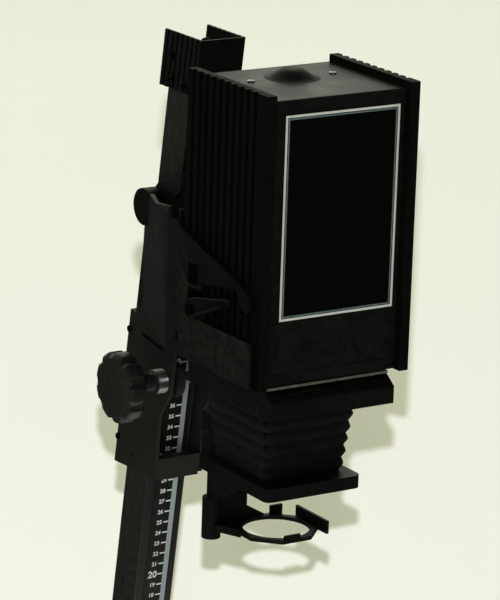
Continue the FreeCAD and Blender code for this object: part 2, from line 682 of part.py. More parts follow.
def make_yoke_plate():
    back = (D.yoke_y, D.yoke_y + D.yoke_t)
    inner = HALF_LAMP + D.arm_gap
    low = box("YokeLow", (-D.stage_w / 2, D.stage_w / 2), back, (D.stage_low, 2))
    high = box("YokeHigh", (-inner, inner), back, (0.5, D.yoke_top))
    holes = [rod(f"YokeHole{number}", "y", D.yoke_screw_r + 0.1, (D.yoke_y - 1, D.yoke_y + 10), place)
             for number, place in enumerate(YOKE_SCREWS)]
    piece("yoke_plate", cut("Yoke", fuse("YokeBlank", low, high), *holes), put_in_head)
    screws = []
    for number, place in enumerate(YOKE_SCREWS):
        head = rod(f"YokeScrewHead{number}", "y", D.yoke_screw_head, (back[1], back[1] + 3), place)
        shank = rod(f"YokeScrewShank{number}", "y", D.yoke_screw_r, (D.yoke_y - 9, back[1] + 1), place)
        screws.append(fuse(f"YokeScrew{number}", head, shank))
    piece("yoke_screws", group("YokeScrews", *screws), put_in_head)


def make_stage():
    """The negative stage: a chamfered block with the light path through it."""
    half = D.stage_w / 2
    body = extrude("Stage", "YZ_Plane", (-half, half), [
        (0, D.stage_low), (D.yoke_y, D.stage_low), (D.yoke_y, D.stage_top), (D.stage_chamfer, D.stage_top),
        (0, D.stage_face)])
    low, high = D.stage_low - 1, D.stage_top + 1
    pocket(body, "StageLight", "XY_Plane", (low, high), rectangle((-30, 30), (45, 105)))
    for side, name in ((-1, "StageRodLeft"), (1, "StageRodRight")):
        pocket(body, name, "XY_Plane", (D.stage_top - 10, high), circle=(side * D.rod_x, D.rod_y, D.rod_r))
    for number, (x, z) in enumerate(YOKE_SCREWS):
        pocket(body, f"StageScrew{number}", "XZ_Plane", (D.yoke_y - 9, D.yoke_y + 1),
               circle=(x, z, D.yoke_screw_r + 0.1))
    piece("negative_stage", body, put_in_head)
    rods = [rod(f"GuideRod{side}", "z", D.rod_r, (D.stage_top - 10, D.rod_top), (side * D.rod_x, D.rod_y))
            for side in (-1, 1)]
    piece("guide_rods", group("GuideRods", *rods), put_in_head)


def wedge(name, low_half, high_half, heights):
    """A tapered block about the optical axis: half sizes (x, y) at its lower and upper ends."""
    solid = document.addObject("Part::Wedge", name)
    low, high = size(heights[0]), size(heights[1])
    bounds = {"Xmin": -low_half[0], "Xmax": low_half[0], "Zmin": -low_half[1], "Zmax": low_half[1],
              "X2min": -high_half[0], "X2max": high_half[0], "Z2min": -high_half[1], "Z2max": high_half[1],
              "Ymin": 0, "Ymax": high - low}
    for prop, amount in bounds.items():
        bind(solid, prop, amount)
    solid.Placement = FreeCAD.Placement(Vector(0, D.optic_y.value, low.value),
                                        FreeCAD.Rotation(Vector(1, 0, 0), 90))
    bind_place(solid, 0, D.optic_y, low)
    return solid


def make_bellows():
    """A plain tapered sleeve that stands for the pleated bellows."""
    top, low = (D.bellows_top_w / 2, D.bellows_top_d / 2), (D.bellows_low_w / 2, D.bellows_low_d / 2)
    wall = D.bellows_wall
    heights = (D.lens_high + 0.2, D.stage_low - 0.2)
    outer = wedge("BellowsOuter", low, top, heights)
    inner = wedge("BellowsInner", [half - wall for half in low], [half - wall for half in top],
                  (heights[0] - 1, heights[1] + 1))
    piece("bellows", cut("Bellows", outer, inner), put_in_head)


def make_focus_rail():
    low = D.stage_low - 0.6
    half = D.rail_w / 2
    back = D.rail_y + D.rail_t
    join = D.yoke_y + D.yoke_t
    body = extrude("Rail", "YZ_Plane", (-half, half), [
        (D.rail_y, D.rail_low), (back, D.rail_low), (back, D.rail_high), (join, D.rail_high),
        (join, low), (D.rail_y, low)])
    piece("focus_rail", body, put_in_head)


# ---------------------------------------------------------------- lamphouse, in the head


LEVER_Z = D.window_z + D.cam_r + D.cam_gap


def make_side_panels():
    """Cast sides with a row of upright cooling grooves, open at their top edge."""
    for side, label in ((-1, "side_panel_left"), (1, "side_panel_right")):
        name = label.title().replace("_", "")
        outer, inner = side * HALF_LAMP, side * INNER_LAMP
        deep = side * (HALF_LAMP - D.groove_deep)
        body = extrude(name, "XY_Plane", (0, D.lamp_h), rectangle((outer, inner), (0, D.lamp_d)))
        groove = pocket(body, name + "Groove", "XY_Plane", (-1, D.lamp_h + 1), rectangle(
            (side * (HALF_LAMP + 1), deep), (D.groove_y, D.groove_y + D.groove_w)))
        pattern_line(body, groove, "Y_Axis", D.groove_pitch * (D.groove_n - 1), D.groove_n)
        if side < 0:
            pocket(body, name + "Pivot", "YZ_Plane", (-HALF_LAMP - 1, -INNER_LAMP + 1),
                   circle=(D.lever_y, LEVER_Z, D.lever_pin_r + D.fit))
        piece(label, body, put_in_head)


def make_panels():
    """Front, rear, top and bottom sheets between the two sides."""
    inside = (-INNER_LAMP, INNER_LAMP)
    roof = D.lamp_h - D.top_drop
    face = extrude("FrontPanel", "XZ_Plane", (D.face_y, D.face_y + D.sheet),
                   rectangle(inside, (D.drawer_z + 0.2, roof)))
    piece("front_panel", face, put_in_head)
    label = extrude("LabelPlate", "XZ_Plane", (D.face_y - D.label_t, D.face_y),
                    rectangle((D.label_left, D.label_right), (D.label_low, D.label_high)))
    piece("label_plate", label, put_in_head)
    rear = extrude("RearPanel", "XZ_Plane", (D.rear_y, D.rear_y + D.sheet), rectangle(inside, (2.6, roof)))
    slot = pocket(rear, "RearSlot", "XZ_Plane", (D.rear_y - 1, D.rear_y + D.sheet + 1),
                  rectangle((-42, 42), (150, 154)))
    pattern_line(rear, slot, "Z_Axis", 30, 4)
    pocket(rear, "RearGland", "XZ_Plane", (D.rear_y - 1, D.rear_y + D.sheet + 1), circle=(0, 205, 5.5))
    piece("rear_panel", rear, put_in_head)
    top = extrude("TopPlate", "XY_Plane", (roof - D.sheet, roof),
                  rectangle(inside, (D.face_y + D.sheet, D.rear_y)),
                  holes=[(side * D.top_screw_x, D.optic_y, 1.6) for side in (-1, 1)])
    piece("top_plate", top, put_in_head)
    floor = extrude("FloorPlate", "XY_Plane", (0, 2.4), rectangle(inside, (D.face_y + D.sheet, D.rear_y)),
                    holes=[(0, D.optic_y, D.light_r)] + [(side * D.rod_x, D.rod_y, D.rod_r + D.fit)
                                                         for side in (-1, 1)])
    piece("floor_plate", floor, put_in_head)
    gland = extrude("Gland", "XZ_Plane", (D.rear_y - 3, D.rear_y + 9), holes=[(0, 205, 5.5), (0, 205, 3)])
    ring = extrude("GlandRing", "XZ_Plane", (D.rear_y + D.sheet, D.rear_y + 5.5),
                   holes=[(0, 205, 9), (0, 205, 3)])
    piece("cord_gland", fuse("CordGland", gland, ring), put_in_head)


def dome_section():
    """Half section of the cap on the roof: a flat-topped dome with rounded shoulders."""
    steps = 8
    arc = [(D.dome_r * (0.55 + 0.45 * math.cos(turn)), D.dome_h * math.sin(turn))
           for turn in [math.pi / 2 * step / steps for step in range(steps + 1)]]
    return [(0, 0)] + arc + [(0, D.dome_h)]


def make_top_fittings():
    roof = D.lamp_h - D.top_drop
    piece("dome_cap", wrapped(revolve("Dome", dome_section(), (*AXIS, roof))), put_in_head)
    screws = []
    for side in (-1, 1):
        place = (side * D.top_screw_x, D.optic_y)
        tag = "L" if side < 0 else "R"
        head = rod(f"TopScrewHead{tag}", "z", 3.2, (roof, roof + 1.8), place)
        shank = rod(f"TopScrewShank{tag}", "z", 1.5, (roof - 8, roof + 1), place)
        screws.append(fuse(f"TopScrew{tag}", head, shank))
    piece("top_screws", group("TopScrews", *screws), put_in_head)


def bulb_section():
    """Half section of the lamp: a round envelope that narrows into its neck."""
    neck, top, centre, steps = D.socket_r - 2, D.socket_z, D.bulb_z, 14
    reach = math.acos(neck.value / D.bulb_r.value)
    turns = [-math.pi / 2 + (math.pi / 2 + reach) * step / steps for step in range(steps + 1)]
    arc = [(D.bulb_r * math.cos(turn), centre + D.bulb_r * math.sin(turn)) for turn in turns[1:]]
    return [(0, centre - D.bulb_r)] + arc + [(neck, top), (0, top)]


def lens_section(edge, rise, flip):
    """Half section of a plano-convex condenser, flat side at zero. flip points its crown downwards."""
    radius = D.lens_r - 0.02
    steps = 8
    crown = []
    for step in range(steps + 1):
        part = 1 - step / steps
        crown.append((radius * part, flip * (edge + rise * (1 - part * part))))
    return [(0, 0), (radius, 0)] + crown


def make_optics():
    roof = D.lamp_h - D.top_drop
    socket = rod("Socket", "z", D.socket_r, (D.socket_z, roof - D.sheet), AXIS)
    piece("lamp_socket", wrapped(socket), put_in_head)
    lamp = revolve("Lamp", bulb_section(), (*AXIS, 0))
    piece("lamp_bulb", wrapped(lamp), put_in_head)
    half = D.housing_half
    housing = extrude("Housing", "XY_Plane", (D.housing_low, D.housing_high),
                      rectangle((-half, half), (D.optic_y - half, D.optic_y + half)),
                      holes=[(*AXIS, D.lens_r)])
    piece("condenser_housing", housing, put_in_head)
    low = revolve("LowerLens", lens_section(3, 10, 1), (*AXIS, D.housing_low + 5))
    piece("condenser_lower", wrapped(low), put_in_head)
    high = revolve("UpperLens", lens_section(3, 10, -1), (*AXIS, D.housing_low + 36))
    piece("condenser_upper", wrapped(high), put_in_head)
    glass = rod("HeatGlass", "z", D.lens_r - 0.02, (D.housing_high - 10, D.housing_high - 7), AXIS)
    piece("heat_glass", wrapped(glass), put_in_head)


def make_filter_drawer():
    """A drawer under the condensers: its front is the lowest strip of the lamphouse's face."""
    wide = INNER_LAMP - 0.3
    front = box("DrawerFront", (-wide, wide), (D.face_y, D.face_y + D.sheet), (0.6, D.drawer_z))
    tray = extrude("DrawerTray", "XY_Plane", (3, 7), rectangle((-45, 45), (D.face_y + D.sheet, 108)),
                   holes=[(*AXIS, 30)])
    piece("filter_drawer", fuse("Drawer", front, tray), put_in_head)


def make_carrier():
    """The negative carrier: a flat plate with the 24 by 36 frame, pulled out to the front."""
    half = D.stage_w / 2
    body = extrude("Carrier", "XY_Plane", (D.carrier_z, D.carrier_z + D.carrier_t),
                   rectangle((-half, half), (D.carrier_front, D.carrier_back)))
    pocket(body, "CarrierFrame", "XY_Plane", (D.carrier_z - 1, 1), rectangle(
        (-D.frame_x / 2, D.frame_x / 2), (D.optic_y - D.frame_y / 2, D.optic_y + D.frame_y / 2)))
    piece("negative_carrier", body, put_in_head)


def cam_outline():
    """A cam whose down side always rests on the window's sill: its support grows evenly with the turn."""
    turn_max = math.radians(D.cam_turn.value)
    rate = D.cam_lift / turn_max
    steps = 8
    points = []
    for step in range(steps + 1):
        turn = turn_max * step / steps
        support = D.cam_r + rate * turn
        down, ahead = (-math.sin(turn), -math.cos(turn)), (-math.cos(turn), math.sin(turn))
        points.append((D.lever_y + support * down[0] + rate * ahead[0],
                       LEVER_Z + support * down[1] + rate * ahead[1]))
    back = [math.pi * (0.5 - step / 6) for step in range(7)]
    hub = [(D.lever_y + D.cam_r * math.cos(turn), LEVER_Z + D.cam_r * math.sin(turn)) for turn in back]
    return points + hub


def make_lift_lever():
    """A hand lever on the left: pressing it down turns the cam and raises the lamphouse."""
    near = -HALF_LAMP - D.arm_gap
    blade_in = near - D.arm_t - 0.6
    blade_out = blade_in - D.lever_t
    blade = extrude("LeverBlade", "YZ_Plane", (blade_out, blade_in), [
        (38, 65.6), (36.6, 63), (37.6, 60), (79, 41.4), (88, 38.4), (94, 36.4), (101, 44), (99, 51),
        (92, 54), (79, 57)])
    flange = extrude("LeverFlange", "YZ_Plane", (blade_out - 8.5, blade_out + 1), [
        (37.6, 60), (79, 41.4), (79.8, 43.2), (38.4, 61.8)])
    bore = rod("LeverBore", "x", D.lever_pin_r, (blade_out - 2, near), (D.lever_y, LEVER_Z))
    piece("lift_lever", cut("Lever", fuse("LeverBlank", blade, flange), bore), put_in_head)
    cam = extrude("LiftCam", "YZ_Plane", (near - 2.7, near - 0.3), cam_outline(),
                  holes=[(D.lever_y, LEVER_Z, D.lever_pin_r)])
    piece("lift_cam", cam, put_in_head)
    pin = rod("PinShank", "x", D.lever_pin_r, (blade_out - 0.5, -INNER_LAMP - 0.5), (D.lever_y, LEVER_Z))
    head = rod("PinHead", "x", 5, (blade_out - 2, blade_out), (D.lever_y, LEVER_Z))
    piece("lift_pin", fuse("LiftPin", pin, head), put_in_head)


# ---------------------------------------------------------------- lens stage, focusing and filter tray

JAW_IN = D.rail_w / 2 + 0.3


def make_lens_stage():
    """A rounded plate under the bellows, with an upright that clasps the focusing rail."""
    half = D.lens_w / 2
    plate = extrude("LensPlate", "XY_Plane", (D.lens_low, D.lens_high),
                    rectangle((-half, half), (D.lens_front, D.lens_back)), holes=[(*AXIS, D.lens_hole)])
    round_edges(plate, "LensCorners", D.lens_corner, lambda edge: is_upright(edge)
                and abs(edge.Vertexes[0].Point.x) > half.value - 1)
    upright = box("LensUpright", (-30, 30), (D.lens_back - 6, D.lens_back), (D.lens_high - 1, -58))
    jaws = []
    for side, span in ((0, (-JAW_IN - D.jaw_t, -JAW_IN)), (1, (JAW_IN, JAW_IN + D.jaw_t))):
        jaws.append(box(f"Jaw{side}", span, (D.lens_back - 1, D.focus_y + 5), (D.lens_low, -62)))
    bores = rod("JawBores", "x", D.focus_r + D.fit, (-60, 60), (D.focus_y, D.focus_z))
    piece("lens_stage", cut("LensStage", fuse("LensBlank", plate, upright, *jaws), bores), put_in_head)
    barrel = rod("RingBarrel", "z", D.lens_hole - 0.03, (D.lens_low, D.lens_high - 1), AXIS)
    flange = rod("RingFlange", "z", D.flange_r, (D.lens_low - D.flange_t, D.lens_low), AXIS)
    ring = fuse("LensRingBlank", barrel, flange)
    bore = rod("RingBore", "z", D.thread_r, (D.lens_low - 10, D.lens_high + 5), AXIS)
    piece("lens_ring", cut("LensRing", ring, bore), put_in_head)


def make_focus_drive():
    """Shaft, roller and knob: the roller runs on the rail's back face."""
    at = (D.focus_y, D.focus_z)
    roller_r = D.focus_y - D.rail_y - D.rail_t - D.rub_gap
    shaft = rod("FocusShaftRod", "x", D.focus_r, (-JAW_IN - D.jaw_t - 2, 66), at)
    roller = rod("FocusRoller", "x", roller_r, (-14, 14), at)
    piece("focus_shaft", fuse("FocusShaft", shaft, roller), put_in_head)
    grip = extrude("FocusGrip", "YZ_Plane", (50, 68), holes=[(0, 0, D.focus_knob_r)])
    flute = pocket(grip, "FocusFlute", "YZ_Plane", (49, 69), circle=(D.focus_knob_r + 1.6, 0, 3))
    pattern_turn(grip, flute, "X_Axis", 12)
    bind_place(grip, 0, *at)
    bore = rod("FocusGripBore", "x", D.focus_r, (40, 66), at)
    piece("focus_knob", cut("FocusKnob", grip, bore), put_in_head)


def make_filter_post():
    """A block with a web and a pin, under the lens stage's left side."""
    block = box("PostBlock", (D.post_x - 3, D.post_x + 10), (D.post_y - 9.5, D.post_y + 3.5),
                (D.post_low, D.lens_low))
    web = box("PostWeb", (D.post_x + 8, D.web_end), (D.web_y, D.web_y + D.web_t), (D.post_low, D.lens_low))
    pin = rod("PostPin", "z", 3, (D.hub_low + 3, D.post_low + 1), (D.post_x, D.post_y))
    piece("filter_post", fuse("FilterPost", block, web, pin), put_in_head)


def make_filter_tray():
    """An open ring with upright lips that hold a filter, on a hub that turns about the post's pin."""
    at = (D.post_x, D.post_y)
    low, top = D.tray_top - D.tray_t, D.tray_top
    half = D.tray_half
    corner = half * math.tan(math.pi / 8)
    octagon = [(x, D.optic_y + y) for x, y in [(half, -corner), (half, corner), (corner, half),
               (-corner, half), (-half, corner), (-half, -corner), (-corner, -half), (corner, -half)]]
    ring = extrude("TrayRing", "XY_Plane", (low, top), octagon, holes=[(*AXIS, D.tray_hole)])
    link = extrude("TrayLink", "XY_Plane", (low - 3.2, top), [
        (-38, 97.5), (-43, 100), (-41, 112), (-14, 107.4), (-25.6, 93.6), (-30, 80)])
    hub = rod("TrayHub", "z", D.hub_r, (D.hub_low, D.post_low - 0.4), at)
    web = extrude("TrayWeb", "XZ_Plane", (D.web_y, D.web_y + D.web_t), [
        (D.post_x + 4.5, low + 0.5), (8, low + 0.5), (8, top + 0.6), (D.web_end, top + 10.4),
        (D.web_end, D.post_low - 0.6), (D.post_x + 4.5, D.post_low - 0.6)])
    right = box("TrayWall", (half - 0.4, half + 2), (D.optic_y - 26, D.optic_y + 20), (low, top + 7.6))
    tab = box("TrayTab", (13, 24.5), (D.optic_y + half - 3.4, D.optic_y + half - 1.2), (low, top + 7))
    clip = box("TrayClip", (-12, 3), (D.optic_y - half, D.optic_y - half + 2.2), (low, top + 3.5))
    bore = rod("TrayBore", "z", 3 + D.fit, (D.hub_low - 1, D.post_low + 5), at)
    opening = rod("TrayOpening", "z", D.tray_hole, (low - 10, top + 10), AXIS)
    blank = fuse("TrayBlank", ring, link, hub, web, right, tab, clip)
    piece("filter_tray", cut("Tray", blank, bore, opening), put_in_head)


def build():
    make_baseboard()
    make_feet()
    make_column_foot()
    make_column()
    make_column_cap()
    make_drum()
    make_cap_screws()
    make_strip()
    make_sleeve()
    make_sleeve_screws()
    make_glide_pads()
    make_elevation_drive()
    make_lock_knob()
    make_arms()
    make_yoke_plate()
    make_stage()
    make_bellows()
    make_focus_rail()
    make_side_panels()
    make_panels()
    make_top_fittings()
    make_optics()
    make_filter_drawer()
    make_carrier()
    make_lift_lever()
    make_lens_stage()
    make_focus_drive()
    make_filter_post()
    make_filter_tray()
    document.recompute()


def check():
    """Stop if any feature failed, or any sub-part is not a sound solid."""
    for thing in document.Objects:
        if {"Invalid", "Error"} & set(thing.State):
            raise ValueError(f"{thing.Name} failed: {thing.State}")
    for thing in PIECES:
        if thing.Shape.isNull() or not thing.Shape.isValid() or not thing.Shape.Solids:
            raise ValueError(f"{thing.Label} is not a valid solid")


def export():
    os.makedirs("parts", exist_ok=True)
    for thing in PIECES:
        thing.Shape.exportStep(f"parts/{thing.Label}.step")


build()
check()
export()
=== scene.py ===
import json
import math

import bmesh
import bpy
from mathutils import Matrix, Vector, noise


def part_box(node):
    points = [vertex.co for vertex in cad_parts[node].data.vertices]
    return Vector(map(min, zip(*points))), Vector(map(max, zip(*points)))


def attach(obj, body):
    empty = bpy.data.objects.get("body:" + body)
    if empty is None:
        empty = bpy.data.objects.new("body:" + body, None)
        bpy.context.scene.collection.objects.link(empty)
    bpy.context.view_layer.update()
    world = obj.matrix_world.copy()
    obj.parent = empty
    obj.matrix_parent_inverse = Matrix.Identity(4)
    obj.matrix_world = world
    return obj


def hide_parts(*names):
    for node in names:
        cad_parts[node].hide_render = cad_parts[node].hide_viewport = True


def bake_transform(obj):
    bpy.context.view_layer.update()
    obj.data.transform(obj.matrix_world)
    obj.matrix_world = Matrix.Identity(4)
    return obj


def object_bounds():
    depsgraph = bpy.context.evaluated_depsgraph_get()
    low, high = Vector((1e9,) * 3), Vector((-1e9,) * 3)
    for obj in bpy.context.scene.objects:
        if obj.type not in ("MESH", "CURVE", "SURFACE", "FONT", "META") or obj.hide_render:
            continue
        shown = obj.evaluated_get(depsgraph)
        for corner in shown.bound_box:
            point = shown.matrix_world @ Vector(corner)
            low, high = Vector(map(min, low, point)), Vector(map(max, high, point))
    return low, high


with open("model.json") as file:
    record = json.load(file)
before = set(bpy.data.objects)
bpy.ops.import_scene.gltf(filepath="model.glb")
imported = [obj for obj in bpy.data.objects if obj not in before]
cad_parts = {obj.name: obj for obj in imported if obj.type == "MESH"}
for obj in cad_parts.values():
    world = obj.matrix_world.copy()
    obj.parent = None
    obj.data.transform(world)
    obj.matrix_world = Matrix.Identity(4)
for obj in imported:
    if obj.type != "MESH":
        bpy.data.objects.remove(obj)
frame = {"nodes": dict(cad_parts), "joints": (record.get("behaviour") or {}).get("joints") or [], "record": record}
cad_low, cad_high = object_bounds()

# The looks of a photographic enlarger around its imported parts. Metres, +Z up, the user at -Y.
MM = 0.001
BLACK = (0.0062, 0.0062, 0.0052)
JOINTS = {joint["name"]: joint for joint in frame["joints"]}

# The column's own axes: across is +X, up is the way that the carriage slides, behind is away from the user.
UP = Vector(JOINTS["carriage_slide"]["axis"]).normalized()
BEHIND = Vector((0, UP.z, -UP.y))
DRUM_BEHIND, DRUM_UP = 12.6 * MM, 664 * MM
COLUMN_FOOT = Vector(JOINTS["drum_turn"]["pos_m"]) - DRUM_BEHIND * BEHIND - DRUM_UP * UP


def on_column(across, behind, up):
    """A point given in millimetres along the column's axes, from its axis at the baseboard's top."""
    return COLUMN_FOOT + Vector((across * MM, 0, 0)) + behind * MM * BEHIND + up * MM * UP


# ---------------------------------------------------------------- materials


class Look:
    """A node material around one Principled shader, in the object's own coordinates (metres)."""

    def __init__(self, name, colour, rough, metallic=0.0, specular=0.5, **sockets):
        self.material = bpy.data.materials.new(name)
        self.material.use_nodes = True
        self.material.diffuse_color = (*colour, 1)
        self.nodes = self.material.node_tree.nodes
        self.shader = self.nodes["Principled BSDF"]
        self.colour = colour
        self.set("Base Color", (*colour, 1))
        self.set("Roughness", rough)
        self.set("Metallic", metallic)
        self.set("Specular IOR Level", specular)
        for socket, value in sockets.items():
            self.set(socket.replace("_", " "), value)
        self.place = self.add("ShaderNodeTexCoord").outputs["Object"]
        self.height = None

    def set(self, socket, value):
        self.shader.inputs[socket].default_value = value

    def add(self, kind, **settings):
        node = self.nodes.new(kind)
        for key, value in settings.items():
            setattr(node, key, value)
        return node

    def join(self, source, target):
        self.material.node_tree.links.new(source, target)

    def feed(self, node, **values):
        for key, value in values.items():
            socket = node.inputs[key.replace("_", " ")]
            if isinstance(value, bpy.types.NodeSocket):
                self.join(value, socket)
            else:
                socket.default_value = value
        return node

    def stretched(self, scale, turn=(0, 0, 0)):
        """Coordinates turned, then scaled by a different amount along each axis."""
        turned = self.feed(self.add("ShaderNodeMapping"), Vector=self.place, Rotation=turn)
        return self.feed(self.add("ShaderNodeMapping"), Vector=turned.outputs[0], Scale=scale).outputs[0]

    def noise(self, scale, detail=3.0, place=None, rough=0.5):
        node = self.add("ShaderNodeTexNoise")
        return self.feed(node, Vector=place or self.place, Scale=scale, Detail=detail,
                         Roughness=rough).outputs["Fac"]

    def mapped(self, value, low, high, start=0.3, end=0.7):
        node = self.add("ShaderNodeMapRange")
        self.feed(node, Value=value, **{"From_Min": start, "From_Max": end, "To_Min": low, "To_Max": high})
        return node.outputs[0]

    def math(self, operation, first, second=0.0):
        node = self.add("ShaderNodeMath", operation=operation)
        for socket, value in zip(node.inputs, (first, second)):
            if isinstance(value, bpy.types.NodeSocket):
                self.join(value, socket)
            else:
                socket.default_value = value
        return node.outputs[0]

    def mix(self, share, colour):
        """Mix another colour over the base colour by a share from 0 to 1."""
        target = self.shader.inputs["Base Color"]
        node = self.add("ShaderNodeMix", data_type="RGBA")
        below = target.links[0].from_socket if target.is_linked else None
        self.join(share, node.inputs["Factor"])
        if below:
            self.join(below, node.inputs["A"])
        else:
            node.inputs["A"].default_value = tuple(target.default_value)
        node.inputs["B"].default_value = (*colour, 1)
        self.join(node.outputs["Result"], target)
        return self

    def vary_rough(self, scale, low, high, place=None):
        self.join(self.mapped(self.noise(scale, 4.0, place), low, high), self.shader.inputs["Roughness"])
        return self

    def bump(self, height, depth):
        """Add relief: the height is 0 to 1, the depth in metres."""
        node = self.feed(self.add("ShaderNodeBump"), Height=height, Distance=depth, Strength=1.0)
        if self.height:
            self.join(self.height, node.inputs["Normal"])
        self.height = node.outputs[0]
        self.join(self.height, self.shader.inputs["Normal"])
        return self

    def facing(self, direction):
        """How far the surface faces one way, from 0 to 1."""
        normal = self.add("ShaderNodeNewGeometry").outputs["True Normal"]
        node = self.add("ShaderNodeVectorMath", operation="DOT_PRODUCT")
        self.join(normal, node.inputs[0])
        node.inputs[1].default_value = direction
        return node.outputs["Value"]

    def worn_edges(self, colour, start=0.53, end=0.62):
        """Paint a lighter colour on the outward edges: partly wear where paint thins, partly a painted edge
        highlight.
        """
        edge = self.mapped(self.add("ShaderNodeNewGeometry").outputs["Pointiness"], 0, 0.7, start, end)
        patchy = self.mapped(self.noise(160.0, 4.0), 0.1, 1.0)
        return self.mix(self.math("MULTIPLY", edge, patchy), colour)

    def dusted(self, amount=0.05):
        """A little pale dust on what faces up."""
        up = self.mapped(self.facing((0, 0, 1)), 0, amount, 0.2, 0.95)
        return self.mix(self.math("MULTIPLY", up, self.mapped(self.noise(55.0, 6.0), 0.2, 1.0)),
                        (0.30, 0.29, 0.25))


def cast_paint(name="cast_paint", colour=(0.020, 0.020, 0.0165)):
    look = Look(name, colour, 0.5, specular=0.3)
    look.mix(look.mapped(look.noise(26.0, 5.0), 0, 0.5), tuple(1.4 * part for part in colour))
    look.worn_edges((0.03, 0.03, 0.0255)).dusted(0.04).vary_rough(38.0, 0.42, 0.58)
    return look.bump(look.noise(1500.0, 2.0), 0.00006).bump(look.noise(260.0, 3.0), 0.00005)


def ribbed_paint():
    """The side panels' matt black, with fine grain along the drawn ribs."""
    look = Look("ribbed_paint", (0.0022, 0.0022, 0.0018), 0.6, specular=0.16)
    drawn = look.stretched((900.0, 900.0, 12.0))
    look.mix(look.mapped(look.noise(1.0, 3.0, drawn), 0, 0.8), (0.005, 0.005, 0.0042))
    look.worn_edges((0.016, 0.016, 0.014)).vary_rough(32.0, 0.52, 0.68)
    return look.bump(look.noise(1.0, 3.0, drawn), 0.00003).bump(look.noise(1500.0, 2.0), 0.00004)


def sheet_paint():
    look = Look("sheet_paint", (0.0045, 0.0045, 0.0038), 0.34, specular=0.42)
    look.mix(look.mapped(look.noise(18.0, 4.0), 0, 0.4), (0.008, 0.008, 0.0065))
    look.worn_edges((0.03, 0.03, 0.026)).dusted(0.06).vary_rough(30.0, 0.29, 0.42)
    return look.bump(look.noise(2100.0, 2.0), 0.00003)


def column_finish():
    look = Look("column_finish", (0.014, 0.014, 0.0115), 0.4, specular=0.36)
    lean = math.atan2(-UP.y, UP.z)
    drawn = look.stretched((900.0, 900.0, 9.0), (-lean, 0, 0))
    look.mix(look.mapped(look.noise(1.0, 4.0, drawn), 0, 0.7), (0.023, 0.023, 0.019))
    look.worn_edges((0.10, 0.10, 0.09)).vary_rough(1.0, 0.32, 0.46, drawn)
    return look.bump(look.noise(1.0, 3.0, drawn), 0.00003)


def moulded(name, colour=BLACK, rough=0.45, grain=0.00005):
    look = Look(name, colour, rough, specular=0.3)
    look.mix(look.mapped(look.noise(30.0, 4.0), 0, 0.5), tuple(2.0 * part for part in colour))
    look.worn_edges((0.03, 0.03, 0.026)).dusted(0.03).vary_rough(45.0, rough - 0.07, rough + 0.08)
    return look.bump(look.noise(2600.0, 2.0), grain)


def glossy_black():
    look = Look("glossy_black", (0.023, 0.023, 0.020), 0.26, specular=0.4)
    scratches = look.stretched((420.0, 2600.0, 420.0), (0.6, 0.3, 0.2))
    look.mix(look.mapped(look.noise(22.0, 4.0), 0, 0.6), (0.032, 0.032, 0.028))
    look.worn_edges((0.06, 0.06, 0.055)).vary_rough(60.0, 0.17, 0.33)
    return look.bump(look.noise(1.0, 2.0, scratches), 0.00002)


def bright_metal(name, colour, low, high, turned=900.0, axis=(1, 0, 0)):
    """Machined metal with fine turning marks along an axis."""
    look = Look(name, colour, low, metallic=1.0)
    look.mix(look.mapped(look.noise(120.0, 5.0), 0, 0.5), tuple(0.62 * part for part in colour))
    lines = look.stretched(tuple(turned if part else 40.0 for part in axis))
    look.vary_rough(75.0, low, high)
    return look.bump(look.noise(1.0, 2.0, lines), 0.00003)


def knurled_metal():
    """Bright metal with fine ridges cut round it."""
    look = bright_metal("knurled_chrome", (0.92, 0.92, 0.89), 0.26, 0.42)
    wave = look.add("ShaderNodeTexWave", wave_type="BANDS", bands_direction="X")
    ridges = look.feed(wave, Vector=look.place, Scale=230.0, Distortion=0.4).outputs["Fac"]
    return look.bump(ridges, 0.0003)


def rubber():
    look = Look("rubber_black", (0.016, 0.016, 0.016), 0.8, specular=0.3)
    look.mix(look.mapped(look.noise(90.0, 5.0), 0, 0.6), (0.035, 0.034, 0.032)).dusted(0.08)
    return look.vary_rough(60.0, 0.7, 0.92).bump(look.noise(1300.0, 3.0), 0.00009)


def nylon():
    look = Look("nylon_natural", (0.72, 0.70, 0.62), 0.42, Subsurface_Weight=0.12)
    look.set("Subsurface Radius", (0.004, 0.004, 0.003))
    look.mix(look.mapped(look.noise(70.0, 5.0), 0, 0.4), (0.60, 0.57, 0.48))
    return look.vary_rough(80.0, 0.34, 0.5).bump(look.noise(900.0, 2.0), 0.00004)


def laminate():
    """Pale speckled laminate with a darker edge band."""
    look = Look("laminate_pale", (0.60, 0.59, 0.55), 0.36, specular=0.4)
    look.mix(look.mapped(look.noise(1900.0, 2.0), 0, 0.8, 0.50, 0.62), (0.44, 0.43, 0.40))
    look.mix(look.mapped(look.noise(9.0, 5.0), 0, 0.4), (0.66, 0.64, 0.59))
    side = look.mapped(look.math("ABSOLUTE", look.facing((0, 0, 1))), 1, 0, 0.3, 0.6)
    look.mix(side, (0.05, 0.045, 0.04))
    return look.vary_rough(40.0, 0.3, 0.44).bump(look.noise(1200.0, 2.0), 0.00004)


def bellows_cloth():
    look = Look("bellows_cloth", (0.0036, 0.0036, 0.0036), 0.78, specular=0.14, Sheen_Weight=0.03,
                Sheen_Roughness=0.5)
    threads = []
    for axis in ("X", "Z", "Y"):
        wave = look.add("ShaderNodeTexWave", wave_type="BANDS", bands_direction=axis)
        threads.append(look.feed(wave, Vector=look.place, Scale=360.0, Distortion=0.0).outputs["Fac"])
    weave = look.math("MULTIPLY", look.math("ADD", threads[0], threads[2]), threads[1])
    look.mix(look.mapped(look.noise(55.0, 5.0), 0, 0.8), (0.008, 0.008, 0.0076))
    look.worn_edges((0.022, 0.022, 0.020), 0.51, 0.58).vary_rough(120.0, 0.66, 0.9)
    return look.bump(weave, 0.00008).bump(look.noise(700.0, 3.0), 0.0001)


